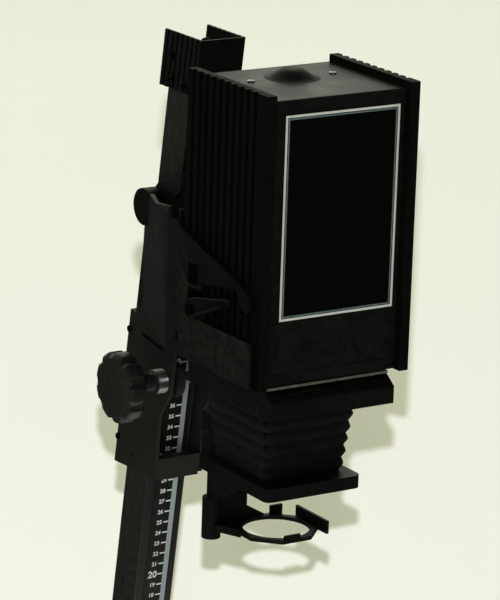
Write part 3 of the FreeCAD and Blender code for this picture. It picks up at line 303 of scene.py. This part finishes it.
def label_film():
    look = Look("label_film", (0.0030, 0.0030, 0.0022), 0.33, specular=0.34)
    look.mix(look.mapped(look.noise(700.0, 3.0), 0, 0.6), (0.0046, 0.0046, 0.0034))
    return look.vary_rough(35.0, 0.27, 0.4).bump(look.noise(1800.0, 2.0), 0.00002)


def ink(name, colour):
    look = Look(name, colour, 0.5, specular=0.4)
    look.mix(look.mapped(look.noise(420.0, 4.0), 0, 0.35), tuple(0.8 * part for part in colour))
    return look.vary_rough(200.0, 0.42, 0.6).bump(look.noise(1500.0, 2.0), 0.00001)


def carrier_finish():
    """Black anodised plate whose front edge faces are mixed, in patches, to a pale metal colour."""
    look = Look("carrier_finish", (0.018, 0.018, 0.018), 0.36, specular=0.5)
    look.mix(look.mapped(look.noise(40.0, 4.0), 0, 0.6), (0.035, 0.035, 0.033))
    # The front-facing faces get a pale metal colour, in patches.
    front = look.mapped(look.facing((0, -1, 0)), 0, 1, 0.4, 0.8)
    pale_front_mask = look.math("MULTIPLY", front, look.mapped(look.noise(150.0, 4.0), 0.55, 1.0))
    look.mix(pale_front_mask, (0.20, 0.195, 0.165)).vary_rough(60.0, 0.28, 0.44)
    return look.bump(look.noise(1400.0, 2.0), 0.00003)


def lens_finish():
    """Black anodised metal with the thread's turns inside its bore."""
    look = Look("lens_finish", (0.016, 0.016, 0.017), 0.34, specular=0.5)
    wave = look.add("ShaderNodeTexWave", wave_type="BANDS", bands_direction="Z", wave_profile="TRI")
    thread = look.feed(wave, Vector=look.place, Scale=320.0, Distortion=0.0).outputs["Fac"]
    upright = look.mapped(look.math("ABSOLUTE", look.facing((0, 0, 1))), 1, 0, 0.1, 0.5)
    look.mix(look.mapped(look.noise(60.0, 4.0), 0, 0.6), (0.032, 0.032, 0.033))
    look.worn_edges((0.30, 0.30, 0.28)).vary_rough(70.0, 0.26, 0.42)
    return look.bump(look.math("MULTIPLY", thread, upright), 0.0003)


def porcelain():
    look = Look("porcelain", (0.74, 0.72, 0.66), 0.22, Coat_Weight=0.6, Coat_Roughness=0.08)
    look.mix(look.mapped(look.noise(90.0, 5.0), 0, 0.4), (0.62, 0.58, 0.50))
    return look.vary_rough(60.0, 0.16, 0.3).bump(look.noise(300.0, 3.0), 0.00006)


def glass(name, colour, rough, through):
    look = Look(name, colour, rough, Transmission_Weight=through)
    look.set("IOR", 1.52)
    look.mix(look.mapped(look.noise(60.0, 3.0), 0, 0.25), tuple(0.9 * part for part in colour))
    return look.vary_rough(50.0, rough, rough + 0.04).bump(look.noise(500.0, 2.0), 0.000004)


LOOKS = {
    "board": laminate(),
    "rubber": rubber(),
    "cast": cast_paint(),
    "column": column_finish(),
    "sheet": sheet_paint(),
    "scale": moulded("scale_strip", (0.0055, 0.0055, 0.005), 0.42, 0.00002),
    "label": label_film(),
    "knob": glossy_black(),
    "chrome": bright_metal("chrome_bright", (0.84, 0.84, 0.81), 0.16, 0.30),
    "steel": bright_metal("steel_zinc", (0.55, 0.55, 0.53), 0.28, 0.42),
    "spring": bright_metal("spring_steel", (0.36, 0.37, 0.38), 0.24, 0.38),
    "nylon": nylon(),
    "stage": moulded("stage_black", (0.005, 0.005, 0.0042), 0.3, 0.00002),
    "carrier": carrier_finish(),
    "bellows": bellows_cloth(),
    "plastic": moulded("plastic_black", (0.0062, 0.0062, 0.0052), 0.44),
    "black_steel": bright_metal("blackened_pins", (0.022, 0.022, 0.02), 0.34, 0.5),
    "lens_metal": lens_finish(),
    "ceramic": porcelain(),
    "lamp_glass": glass("opal_glass", (0.92, 0.91, 0.86), 0.25, 0.25),
    "optical_glass": glass("optical_glass", (0.93, 0.97, 0.95), 0.02, 1.0),
    "heat_glass": glass("heat_glass", (0.66, 0.86, 0.80), 0.02, 1.0),
}
RIBBED, KNURLED = ribbed_paint(), knurled_metal()
# A darker copy of the cast paint: painted shade on the yoke arms and the column cap.
SHADED_CAST_PAINT = cast_paint("cast_paint_painted_shade", (0.0055, 0.0055, 0.0045))
OWN_LOOKS = {"side_panel_left": RIBBED, "side_panel_right": RIBBED, "shaft_collar": KNURLED,
             "yoke_arm_left": SHADED_CAST_PAINT, "yoke_arm_right": SHADED_CAST_PAINT, "column_cap": SHADED_CAST_PAINT}
DOME = moulded("dome_black", (0.004, 0.004, 0.0033), 0.42)
DOME.set("Specular IOR Level", 0.12)
WHITE_INK = ink("white_ink", (0.80, 0.81, 0.77))
BLUE_INK = ink("blue_grey_ink", (0.155, 0.225, 0.245))
SCALE_INK = ink("scale_ink", (0.84, 0.86, 0.84))
BAND_INK = ink("band_ink", (0.40, 0.47, 0.50))
BLACKENED = LOOKS["black_steel"]


# ---------------------------------------------------------------- meshes


def show(name, mesh, look, body, slot, *replaced, soften=35):
    """Make a finished piece from a mesh: its material and body, and the nodes that it stands for. The slot
    argument is not used.
    """
    mesh.set_sharp_from_angle(angle=math.radians(soften))
    thing = bpy.data.objects.new(name, mesh)
    bpy.context.scene.collection.objects.link(thing)
    mesh.materials.clear()
    mesh.materials.append(look.material)
    if body:
        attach(thing, body)
    if replaced:
        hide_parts(*replaced)
    return thing


def mesh_of(name, points, faces):
    mesh = bpy.data.meshes.new(name)
    mesh.from_pydata([tuple(point) for point in points], [], faces)
    work = bmesh.new()
    work.from_mesh(mesh)
    bmesh.ops.recalc_face_normals(work, faces=work.faces)
    for face in work.faces:
        face.smooth = True
    work.to_mesh(mesh)
    work.free()
    return mesh


def loft(name, rings, closed=False):
    """Skin a row of rings with the same count. A closed row joins its last ring to its first."""
    count = len(rings[0])
    points = [point for ring in rings for point in ring]
    faces = []
    rows = len(rings) if closed else len(rings) - 1
    for row in range(rows):
        here, there = row * count, (row + 1) % len(rings) * count
        for index in range(count):
            after = (index + 1) % count
            faces.append((here + index, here + after, there + after, there + index))
    if not closed:
        faces.append(tuple(range(count)))
        faces.append(tuple(reversed(range(len(points) - count, len(points)))))
    return mesh_of(name, points, faces)


def joined(name, meshes):
    """One mesh from several separate ones."""
    work = bmesh.new()
    for mesh in meshes:
        work.from_mesh(mesh)
    result = bpy.data.meshes.new(name)
    work.to_mesh(result)
    work.free()
    for mesh in meshes:
        bpy.data.meshes.remove(mesh)
    return result


def frame_matrix(place, across, upward):
    """A matrix that puts local X along across and local Y along upward."""
    outward = across.cross(upward)
    turn = Matrix((across, upward, outward)).transposed()
    return Matrix.Translation(place) @ turn.to_4x4()


def block(low, high):
    """The eight corners and six faces of a block."""
    points = [(x, y, z) for x in (low[0], high[0]) for y in (low[1], high[1]) for z in (low[2], high[2])]
    faces = [(0, 1, 3, 2), (4, 6, 7, 5), (0, 4, 5, 1), (2, 3, 7, 6), (0, 2, 6, 4), (1, 5, 7, 3)]
    return mesh_of("block", points, faces)


# ---------------------------------------------------------------- bellows

PLEATS = 6
SIDE_POINTS, CORNER_POINTS = 12, 3
PLEAT_DEPTH = 1.6 * MM
CLOTH = 0.8 * MM


def cut_corner_ring(half_x, half_y, corner, height, centre):
    """A rectangle with its corners cut, as points spread along its sides."""
    stops = [(half_x, corner - half_y), (half_x, half_y - corner), (half_x - corner, half_y),
             (corner - half_x, half_y), (-half_x, half_y - corner), (-half_x, corner - half_y),
             (corner - half_x, -half_y), (half_x - corner, -half_y)]
    ring = []
    for number, (start, end) in enumerate(zip(stops, stops[1:] + stops[:1])):
        steps = CORNER_POINTS if number % 2 else SIDE_POINTS
        for step in range(steps):
            part = step / steps
            ring.append(Vector((centre.x + start[0] + (end[0] - start[0]) * part,
                                centre.y + start[1] + (end[1] - start[1]) * part, height)))
    return ring


def make_bellows():
    """Pleated cloth between the lens stage and the negative stage, wider at the top."""
    low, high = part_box("bellows")
    centre = (low + high) / 2
    top_half = (high - low) / 2 + Vector((3.2 * MM, 1.6 * MM, 0))
    bottom_half = Vector((37.8 * MM, 38.5 * MM, 0))
    bottom, top = low.z, high.z
    fold_steps = (0.0, 0.07, 0.2, 0.34, 0.46, 0.54, 0.66, 0.8, 0.93)
    levels = [(pleat + step) / PLEATS for pleat in range(PLEATS) for step in fold_steps] + [1.0]
    rings = []
    for inner in (False, True):
        for level in (reversed(levels) if inner else levels):
            fold = abs(2 * (level * PLEATS % 1.0) - 1)
            inset = PLEAT_DEPTH * fold ** 1.4 + (CLOTH if inner else 0)
            half = bottom_half.lerp(top_half, level)
            corner = (2.0 + 1.3 * fold) * MM
            ring = cut_corner_ring(half.x - inset, half.y - inset, corner, bottom + (top - bottom) * level,
                                   centre)
            for point in ring:
                slack = noise.noise(point * 70) * 0.5 + noise.noise(point * 190) * 0.2
                inward = Vector((centre.x - point.x, centre.y - point.y, 0)).normalized()
                point += inward * MM * (0.5 + slack) * 0.7
                if 0.02 < level < 0.98:
                    point.z += noise.noise(point * 45 + Vector((9, 4, 2))) * 0.9 * MM
            rings.append(ring)
    mesh = loft("bellows_cloth", rings, closed=True)
    piece = show("bellows_pleated", mesh, LOOKS["bellows"], None, "bellows", "bellows", soften=25)
    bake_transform(piece)


# ---------------------------------------------------------------- counterbalance strip


def make_strip():
    """The spring strip: a tab at the carriage, a straight run, and the half turn over the drum."""
    half, thick, radius = 8 * MM, 0.4 * MM, 9.0 * MM
    tab_low, straight, curved = 529 * MM, 30, 20
    path = [(DRUM_BEHIND + radius, tab_low + (DRUM_UP - tab_low) * step / straight)
            for step in range(straight + 1)]
    path += [(DRUM_BEHIND + radius * math.cos(turn), DRUM_UP + radius * math.sin(turn))
             for turn in [math.pi * step / curved for step in range(1, curved + 1)]]
    rings = []
    for number, (behind, up) in enumerate(path):
        over = max(0, number - straight) / curved * math.pi
        outward = Vector((math.cos(over), math.sin(over)))
        width = half * (0.62 + 0.38 * min(1.0, number / 3))
        ring = []
        for across, out in ((-width, 0), (width, 0), (width, thick), (-width, thick)):
            ring.append(on_column(across / MM, (behind + outward.x * out) / MM, (up + outward.y * out) / MM))
        rings.append(ring)
    piece = show("counterbalance_spring", loft("strip", rings), LOOKS["spring"], None, "spring",
                 "counterbalance_strip")
    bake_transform(piece)


# ---------------------------------------------------------------- scale

SCALE_FACE = -16.6
BAND = (7.7, 12.4)
TICK = (2.7, 7.7)
NUMBER_RIGHT = 1.2
FIRST_MARK, LAST_MARK = 7, 62


def printed(low_x, high_x, low_up, high_up):
    """A thin printed bar on the column's front."""
    corners = [(low_x, low_up), (high_x, low_up), (high_x, high_up), (low_x, high_up)]
    rings = [[on_column(x, SCALE_FACE - proud, up) for x, up in corners] for proud in (0.0, 0.04)]
    return loft("bar", rings)


def numeral(text, right, up, tall, heavy):
    """A printed number whose right edge and middle height are given, in millimetres on the column."""
    curve = bpy.data.curves.new("numeral", "FONT")
    curve.body = text
    curve.size = tall * 1.38 * MM
    curve.align_x, curve.align_y = "RIGHT", "CENTER"
    curve.extrude = 0.02 * MM
    curve.offset = heavy * MM
    curve.resolution_u = 3
    thing = bpy.data.objects.new("numeral", curve)
    bpy.context.scene.collection.objects.link(thing)
    bpy.context.view_layer.update()
    mesh = bpy.data.meshes.new_from_object(thing.evaluated_get(bpy.context.evaluated_depsgraph_get()))
    bpy.data.objects.remove(thing)
    bpy.data.curves.remove(curve)
    mesh.transform(frame_matrix(on_column(right, SCALE_FACE - 0.02, up), Vector((1, 0, 0)), UP))
    return mesh


def make_scale():
    """A centimetre scale: a solid band, a tick and a number each centimetre, a large number each ten."""
    bars, numbers = [], []
    for mark in range(FIRST_MARK, LAST_MARK + 1):
        height = mark * 10
        bars.append(printed(*TICK, height - 0.65, height + 0.65))
        if mark % 10:
            numbers.append(numeral(str(mark), NUMBER_RIGHT, height, 3.8, 0.17))
        else:
            numbers.append(numeral(str(mark), NUMBER_RIGHT + 0.9, height, 6.4, 0.26))
    show("scale_band", printed(*BAND, 62, 630), BAND_INK, "stand", "scale")
    show("scale_marks", joined("scale_marks", bars), SCALE_INK, "stand", "scale")
    show("scale_numbers", joined("scale_numbers", numbers), SCALE_INK, "stand", "scale")


# ---------------------------------------------------------------- label


def border(name, inset, width, proud, look):
    """A flat printed frame on the label plate."""
    low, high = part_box("label_plate")
    rings = []
    for edge, out in ((inset, 0), (inset, proud), (inset + width, proud), (inset + width, 0)):
        x0, x1, z0, z1 = low.x + edge * MM, high.x - edge * MM, low.z + edge * MM, high.z - edge * MM
        rings.append([Vector((x, low.y - out * MM, z)) for x, z in ((x0, z0), (x1, z0), (x1, z1), (x0, z1))])
    show(name, loft(name, rings, closed=True), look, "lamphouse", "label")


# ---------------------------------------------------------------- knobs


KNOB_TURN = math.radians(38)


def knob_mesh(name, lobes, radius, cutter, reach, profile, turn_steps):
    """A turned knob with scallops: profile rows are (x, radius, how far the scallops show)."""

    def outline(angle):
        local = (angle * lobes / (2 * math.pi) + 0.5) % 1.0 - 0.5
        swing = local * 2 * math.pi / lobes
        across = reach * math.sin(swing)
        if abs(across) >= cutter:
            return 1.0
        bite = reach * math.cos(swing) - math.sqrt(cutter * cutter - across * across)
        return min(1.0, bite / radius)

    rings = []
    for x, size, show_lobes in profile:
        ring = []
        for step in range(turn_steps):
            angle = 2 * math.pi * step / turn_steps
            scale = 1 + (outline(angle) - 1) * show_lobes
            ring.append(Vector((x * MM, size * scale * math.cos(angle) * MM,
                                size * scale * math.sin(angle) * MM)))
        rings.append(ring)
    return loft(name, rings)


def make_elevation_knob():
    """The scalloped hand knob: a flat face with a fine ring in it, a rounded rim and a short neck."""
    face, neck_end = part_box("elevation_knob")[0].x / MM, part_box("elevation_knob")[1].x / MM
    front = [(0.5, 0.4, 0), (0.5, 8.8, 0), (0.7, 9.0, 0), (0.7, 9.5, 0), (0.5, 9.7, 0), (0.4, 23.2, 0.1),
             (0.15, 24.2, 0.2), (0.0, 25.2, 0.35), (0.0, 26.2, 0.6), (0.5, 27.6, 0.9), (1.5, 29.0, 1),
             (2.9, 29.8, 1), (4.2, 30.0, 1), (13.2, 30.0, 1), (14.7, 29.6, 1), (15.6, 28.7, 1),
             (16.0, 27.4, 0.9), (16.0, 12.0, 0), (16.6, 9.4, 0), (18.0, 7.9, 0), (20.0, 7.5, 0)]
    profile = [(face + depth, radius, lobes) for depth, radius, lobes in front]
    profile += [(neck_end - 0.8, 7.4, 0), (neck_end, 6.8, 0), (neck_end, 5.1, 0), (face + 7, 5.05, 0)]
    mesh = knob_mesh("elevation_knob_mesh", 9, 30.0, 7.2, 34.6, profile, 216)
    place = Vector(JOINTS["elevation_turn"]["pos_m"])
    mesh.transform(Matrix.Translation((0, place.y, place.z)) @ Matrix.Rotation(KNOB_TURN, 4, "X"))
    show("elevation_knob_grip", mesh, LOOKS["knob"], "elevation_drive", "knob", "elevation_knob")


def make_focus_knob():
    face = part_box("focus_knob")[1].x / MM
    front = [(0.4, 0.4, 0), (0.4, 4.0, 0), (0.7, 4.4, 0), (0.7, 11.4, 0), (0.4, 12.2, 0), (0.0, 13.2, 0.2),
             (0.4, 14.7, 0.8), (1.2, 15.6, 1), (2.4, 16.0, 1), (15.8, 16.0, 1), (16.8, 15.6, 1),
             (17.6, 14.4, 0.4), (18.0, 12.5, 0), (18.0, 3.1, 0), (2.0, 3.05, 0)]
    mesh = knob_mesh("focus_knob_mesh", 12, 16.0, 3.0, 17.6,
                     [(face - depth, radius, lobes) for depth, radius, lobes in front], 192)
    place = Vector(JOINTS["focus_turn"]["pos_m"])
    mesh.transform(Matrix.Translation((0, place.y, place.z)))
    show("focus_knob_grip", mesh, LOOKS["knob"], "focus_drive", "knob", "focus_knob")


# ---------------------------------------------------------------- screws


def screw_head(radius, tall):
    """A pan head with a cross recess, standing on the XY plane."""
    turns, rise = 28, 6
    rings = [[Vector((radius * math.cos(2 * math.pi * step / turns),
                      radius * math.sin(2 * math.pi * step / turns), height))
              for step in range(turns)] for height in (0.0, tall * 0.35)]
    for level in range(1, rise):
        part = math.pi / 2 * level / rise
        rings.append([Vector((radius * math.cos(part) * math.cos(2 * math.pi * step / turns),
                              radius * math.cos(part) * math.sin(2 * math.pi * step / turns),
                              tall * (0.35 + 0.65 * math.sin(part)))) for step in range(turns)])
    head = bpy.data.objects.new("head", loft("head", rings))
    arm, thin, deep = radius * 0.62, radius * 0.14, tall * 0.45
    cross = joined("cross", [block((-arm, -thin, deep), (arm, thin, tall * 2)),
                             block((-thin, -arm, deep * 1.001), (thin, arm, tall * 1.99))])
    cutter = bpy.data.objects.new("cross", cross)
    for thing in (head, cutter):
        bpy.context.scene.collection.objects.link(thing)
    carve = head.modifiers.new("cross", "BOOLEAN")
    carve.operation, carve.solver, carve.object, carve.use_self = "DIFFERENCE", "EXACT", cutter, True
    bpy.context.view_layer.update()
    mesh = bpy.data.meshes.new_from_object(head.evaluated_get(bpy.context.evaluated_depsgraph_get()))
    for thing in (head, cutter):
        bpy.data.objects.remove(thing)
    return mesh


def make_screws(name, node, body, slot, look, radius, tall, places):
    """Copies of one screw head. A place is (centre of the seat, outward direction, turn)."""
    pattern = screw_head(radius, tall)
    heads = []
    for centre, outward, turn in places:
        copy = pattern.copy()
        aim = Vector((0, 0, 1)).rotation_difference(outward).to_matrix().to_4x4()
        copy.transform(Matrix.Translation(centre) @ aim @ Matrix.Rotation(turn, 4, "Z"))
        heads.append(copy)
    bpy.data.meshes.remove(pattern)
    show(name, joined(name, heads), look, body, slot, node)


RIGHT, UPWARD, REAR = Vector((1, 0, 0)), Vector((0, 0, 1)), Vector((0, 1, 0))


def make_all_screws():
    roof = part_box("top_plate")[1].z
    middle = (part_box("dome_cap")[0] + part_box("dome_cap")[1]) / 2
    make_screws("roof_screw_heads", "top_screws", "lamphouse", "chrome", LOOKS["chrome"], 3.2 * MM, 1.8 * MM,
                [(Vector((side * 38 * MM, middle.y, roof)), UPWARD, 0.5 + side) for side in (-1, 1)])
    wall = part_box("sleeve_right")[1].x / MM
    sleeve = [(28, 415), (28, 315), (-23.2, 465), (-23.2, 555)]
    make_screws("sleeve_screw_heads", "sleeve_screws", "carriage", "black_steel", BLACKENED, 3 * MM, 2 * MM,
                [(on_column(side * wall, behind, up), side * RIGHT, 0.7 * number + side)
                 for number, (behind, up) in enumerate(sleeve) for side in (-1, 1)])
    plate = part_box("yoke_plate")[1].y
    foot_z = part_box("side_panel_left")[0].z
    make_screws("yoke_screw_heads", "yoke_screws", "carriage", "steel", LOOKS["steel"], 3.6 * MM, 3 * MM,
                [(Vector((x * MM, plate, foot_z + z * MM)), REAR, 0.4 * x) for x in (-46, 46)
                 for z in (-19, -10)])
    side_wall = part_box("column_cap")[1].x / MM
    make_screws("cap_screw_heads", "cap_screws", "stand", "black_steel", BLACKENED, 3 * MM, 1.8 * MM,
                [(on_column(side * side_wall, behind, 646), side * RIGHT, 0.3 * behind)
                 for side in (-1, 1) for behind in (-9, 9)])


# ---------------------------------------------------------------- roof dome


def make_dome():
    """A shallow pressed dome in the roof, over the lamp."""
    low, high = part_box("dome_cap")
    centre, radius, tall = (low + high) / 2, (high.x - low.x) / 2, high.z - low.z
    turns, levels = 72, 14
    rings = []
    for level in range(levels + 1):
        part = level / levels
        size = radius * (1 - 0.94 * part)
        rise = tall * (0.5 - 0.5 * math.cos(math.pi * min(1.0, part * 1.25)))
        rings.append([Vector((centre.x + size * math.cos(2 * math.pi * step / turns),
                              centre.y + size * math.sin(2 * math.pi * step / turns),
                              low.z + rise)) for step in range(turns)])
    show("roof_dome", loft("roof_dome", rings), DOME, "lamphouse", "plastic", "dome_cap", soften=60)


# ---------------------------------------------------------------- CAD nodes

BEVELS = {"baseboard": 1.2, "column_foot": 1.4, "rubber_feet": 1.5, "foot_bolts": 0.4, "column": 0.35,
          "negative_stage": 0.8, "lens_stage": 0.9, "side_panel_left": 0.35, "side_panel_right": 0.35,
          "yoke_arm_left": 0.5, "yoke_arm_right": 0.5, "scale_strip": 0.05, "label_plate": 0.15,
          "filter_tray": 0.4, "filter_post": 0.8, "lift_lever": 0.5, "glide_pads": 0.2}
NO_BEVEL = {"lamp_bulb", "condenser_lower", "condenser_upper", "heat_glass"}


def dress_nodes():
    """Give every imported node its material, and its sharp edges a small round."""
    slot_of = {entry["node"]: entry["material_slot"] for entry in frame["record"]["subparts"]}
    for node, thing in frame["nodes"].items():
        thing.data.materials.clear()
        look = OWN_LOOKS.get(node, LOOKS[slot_of[node]])
        thing.data.materials.append(look.material)
        if node in NO_BEVEL:
            continue
        weld = thing.modifiers.new("weld", "WELD")
        weld.merge_threshold = 0.002 * MM
        rounding = thing.modifiers.new("round", "BEVEL")
        rounding.width = BEVELS.get(node, 0.3) * MM
        rounding.segments = 2
        rounding.limit_method = "ANGLE"
        rounding.angle_limit = math.radians(40)
        rounding.use_clamp_overlap = True
        even = thing.modifiers.new("even", "WEIGHTED_NORMAL")
        even.keep_sharp = False


# ---------------------------------------------------------------- studio

FLOOR_COLOUR = (0.80, 0.815, 0.70)
FAR_FLOOR_PAINTED_LIGHT = (0.94, 0.955, 0.83)
SKY = (0.855, 0.871, 0.745)
ROOM_DIM, ROOM_BRIGHT = 0.02, 0.95
VIEW_AZIMUTH, VIEW_ELEVATION, VIEW_ROLL = math.radians(-32.76), math.radians(15.65), math.radians(1.91)
VIEW_DISTANCE, VIEW_LENS, SENSOR = 2.8632, 218.5, 36.0
AIM_LEFT, AIM_DOWN = 32.4 * MM, 78.7 * MM
FLASH_ABOVE, FLASH_RADIUS, FLASH_POWER = 110 * MM, 11 * MM, 63.0


def make_camera():
    """Aim beside the lamphouse's middle, from the user's left. Returns a place just above the camera."""
    back = Vector((math.sin(VIEW_AZIMUTH) * math.cos(VIEW_ELEVATION),
                   -math.cos(VIEW_AZIMUTH) * math.cos(VIEW_ELEVATION), math.sin(VIEW_ELEVATION)))
    level = Vector((math.cos(VIEW_AZIMUTH), math.sin(VIEW_AZIMUTH), 0))
    upright = level.cross(-back)
    across = level * math.cos(VIEW_ROLL) + upright * math.sin(VIEW_ROLL)
    above = upright * math.cos(VIEW_ROLL) - level * math.sin(VIEW_ROLL)
    lamp_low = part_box("side_panel_left")[0]
    target = Vector((0, lamp_low.y + 70 * MM, lamp_low.z + 130 * MM))
    data = bpy.data.cameras.new("camera")
    data.lens, data.sensor_width = VIEW_LENS, SENSOR
    data.clip_start, data.clip_end = 0.05, 200
    camera = bpy.data.objects.new("camera", data)
    bpy.context.scene.collection.objects.link(camera)
    place = target + back * VIEW_DISTANCE - across * AIM_LEFT - above * AIM_DOWN
    turn = Matrix((across, above, back)).transposed()
    camera.matrix_world = Matrix.Translation(place) @ turn.to_4x4()
    bpy.context.scene.camera = camera
    return place + above * FLASH_ABOVE


def make_floor():
    half = 40.0
    mesh = mesh_of("floor", [(-half, -half, 0), (half, -half, 0), (half, half, 0), (-half, half, 0)],
                   [(0, 1, 2, 3)])
    floor = bpy.data.objects.new("floor", mesh)
    bpy.context.scene.collection.objects.link(floor)
    look = Look("floor_paper", FLOOR_COLOUR, 0.9, specular=0.0)
    look.mix(look.mapped(look.noise(2.0, 3.0), 0, 0.25), tuple(0.985 * part for part in FLOOR_COLOUR))
    parts = look.feed(look.add("ShaderNodeSeparateXYZ"), Vector=look.place)
    # Painted light: the floor turns paler toward the back, making up for the light falling off across the far
    # floor.
    look.mix(look.mapped(parts.outputs["Y"], 0, 1, 0.3, 2.8), FAR_FLOOR_PAINTED_LIGHT)
    look.bump(look.noise(300.0, 2.0), 0.0001)
    mesh.materials.append(look.material)
    floor.visible_glossy = False


def make_world():
    """Pale all round to the eye. What the object mirrors is bright low behind it and dim elsewhere."""
    world = bpy.data.worlds.new("studio")
    bpy.context.scene.world = world
    world.use_nodes = True
    nodes, links = world.node_tree.nodes, world.node_tree.links
    background = nodes["Background"]

    def ramp(value, start, end, low, high):
        node = nodes.new("ShaderNodeMapRange")
        for socket, amount in zip(("From Min", "From Max", "To Min", "To Max"), (start, end, low, high)):
            node.inputs[socket].default_value = amount
        links.new(value, node.inputs["Value"])
        return node.outputs[0]

    direction = nodes.new("ShaderNodeTexCoord").outputs["Generated"]
    dot = nodes.new("ShaderNodeVectorMath")
    dot.operation = "DOT_PRODUCT"
    dot.inputs[1].default_value = Vector((0.32, 0.86, 0.39)).normalized()
    links.new(direction, dot.inputs[0])
    height = nodes.new("ShaderNodeSeparateXYZ")
    links.new(direction, height.inputs[0])
    glow = ramp(dot.outputs["Value"], 0.45, 1.0, ROOM_DIM, ROOM_BRIGHT)
    above = ramp(height.outputs["Z"], -0.2, 0.12, 0.12, 1.0)
    room = nodes.new("ShaderNodeMath")
    room.operation = "MULTIPLY"
    links.new(glow, room.inputs[0])
    links.new(above, room.inputs[1])
    seen = nodes.new("ShaderNodeMix")
    links.new(nodes.new("ShaderNodeLightPath").outputs["Is Camera Ray"], seen.inputs["Factor"])
    links.new(room.outputs[0], seen.inputs["A"])
    seen.inputs["B"].default_value = 1.0
    links.new(seen.outputs["Result"], background.inputs["Strength"])
    background.inputs["Color"].default_value = (*SKY, 1)


def add_light(name, kind, energy, azimuth, elevation, colour, **settings):
    data = bpy.data.lights.new(name, kind)
    data.energy, data.color = energy, colour
    for key, value in settings.items():
        setattr(data, key, value)
    lamp = bpy.data.objects.new(name, data)
    turn, rise = math.radians(azimuth), math.radians(elevation)
    back = Vector((math.sin(turn) * math.cos(rise), -math.cos(turn) * math.cos(rise), math.sin(rise)))
    centre = (cad_low + cad_high) / 2
    lamp.location = centre + back * 3.0
    lamp.rotation_mode = "QUATERNION"
    lamp.rotation_quaternion = (-back).to_track_quat("-Z", "Y")
    bpy.context.scene.collection.objects.link(lamp)
    return lamp


def make_studio():
    flash_place = make_camera()
    make_floor()
    make_world()
    floor_only = bpy.data.collections.new("floor_only")
    floor_only.objects.link(bpy.data.objects["floor"])
    floor_only.objects.link(frame["nodes"]["baseboard"])
    # These two reach only the floor and the baseboard, since the object's blacks need far less light.
    fill = add_light("backdrop_fill", "SUN", 1.27, -33.3, 80.0, (1.0, 1.0, 0.79), angle=math.radians(110))
    flash = add_light("backdrop_flash", "POINT", FLASH_POWER, 0.0, 0.0, (0.82, 0.815, 1.0),
                      shadow_soft_size=FLASH_RADIUS, use_nodes=True)
    flash.location = flash_place
    nodes, links = flash.data.node_tree.nodes, flash.data.node_tree.links
    even = nodes.new("ShaderNodeLightFalloff")
    even.inputs["Strength"].default_value = 1.0
    links.new(even.outputs["Constant"], nodes["Emission"].inputs["Strength"])
    for light in (fill, flash):
        light.light_linking.receiver_collection = floor_only
    add_light("key", "SUN", 0.24, -34.0, 22.0, (1.0, 1.0, 0.96), angle=math.radians(2.0))
    bpy.context.scene.view_settings.view_transform = "Standard"


dress_nodes()
make_bellows()
make_strip()
make_scale()
border("label_border", 0.1, 1.9, 0.05, WHITE_INK)
border("label_line", 2.7, 1.1, 0.04, BLUE_INK)
make_elevation_knob()
make_focus_knob()
make_all_screws()
make_dome()
make_studio()
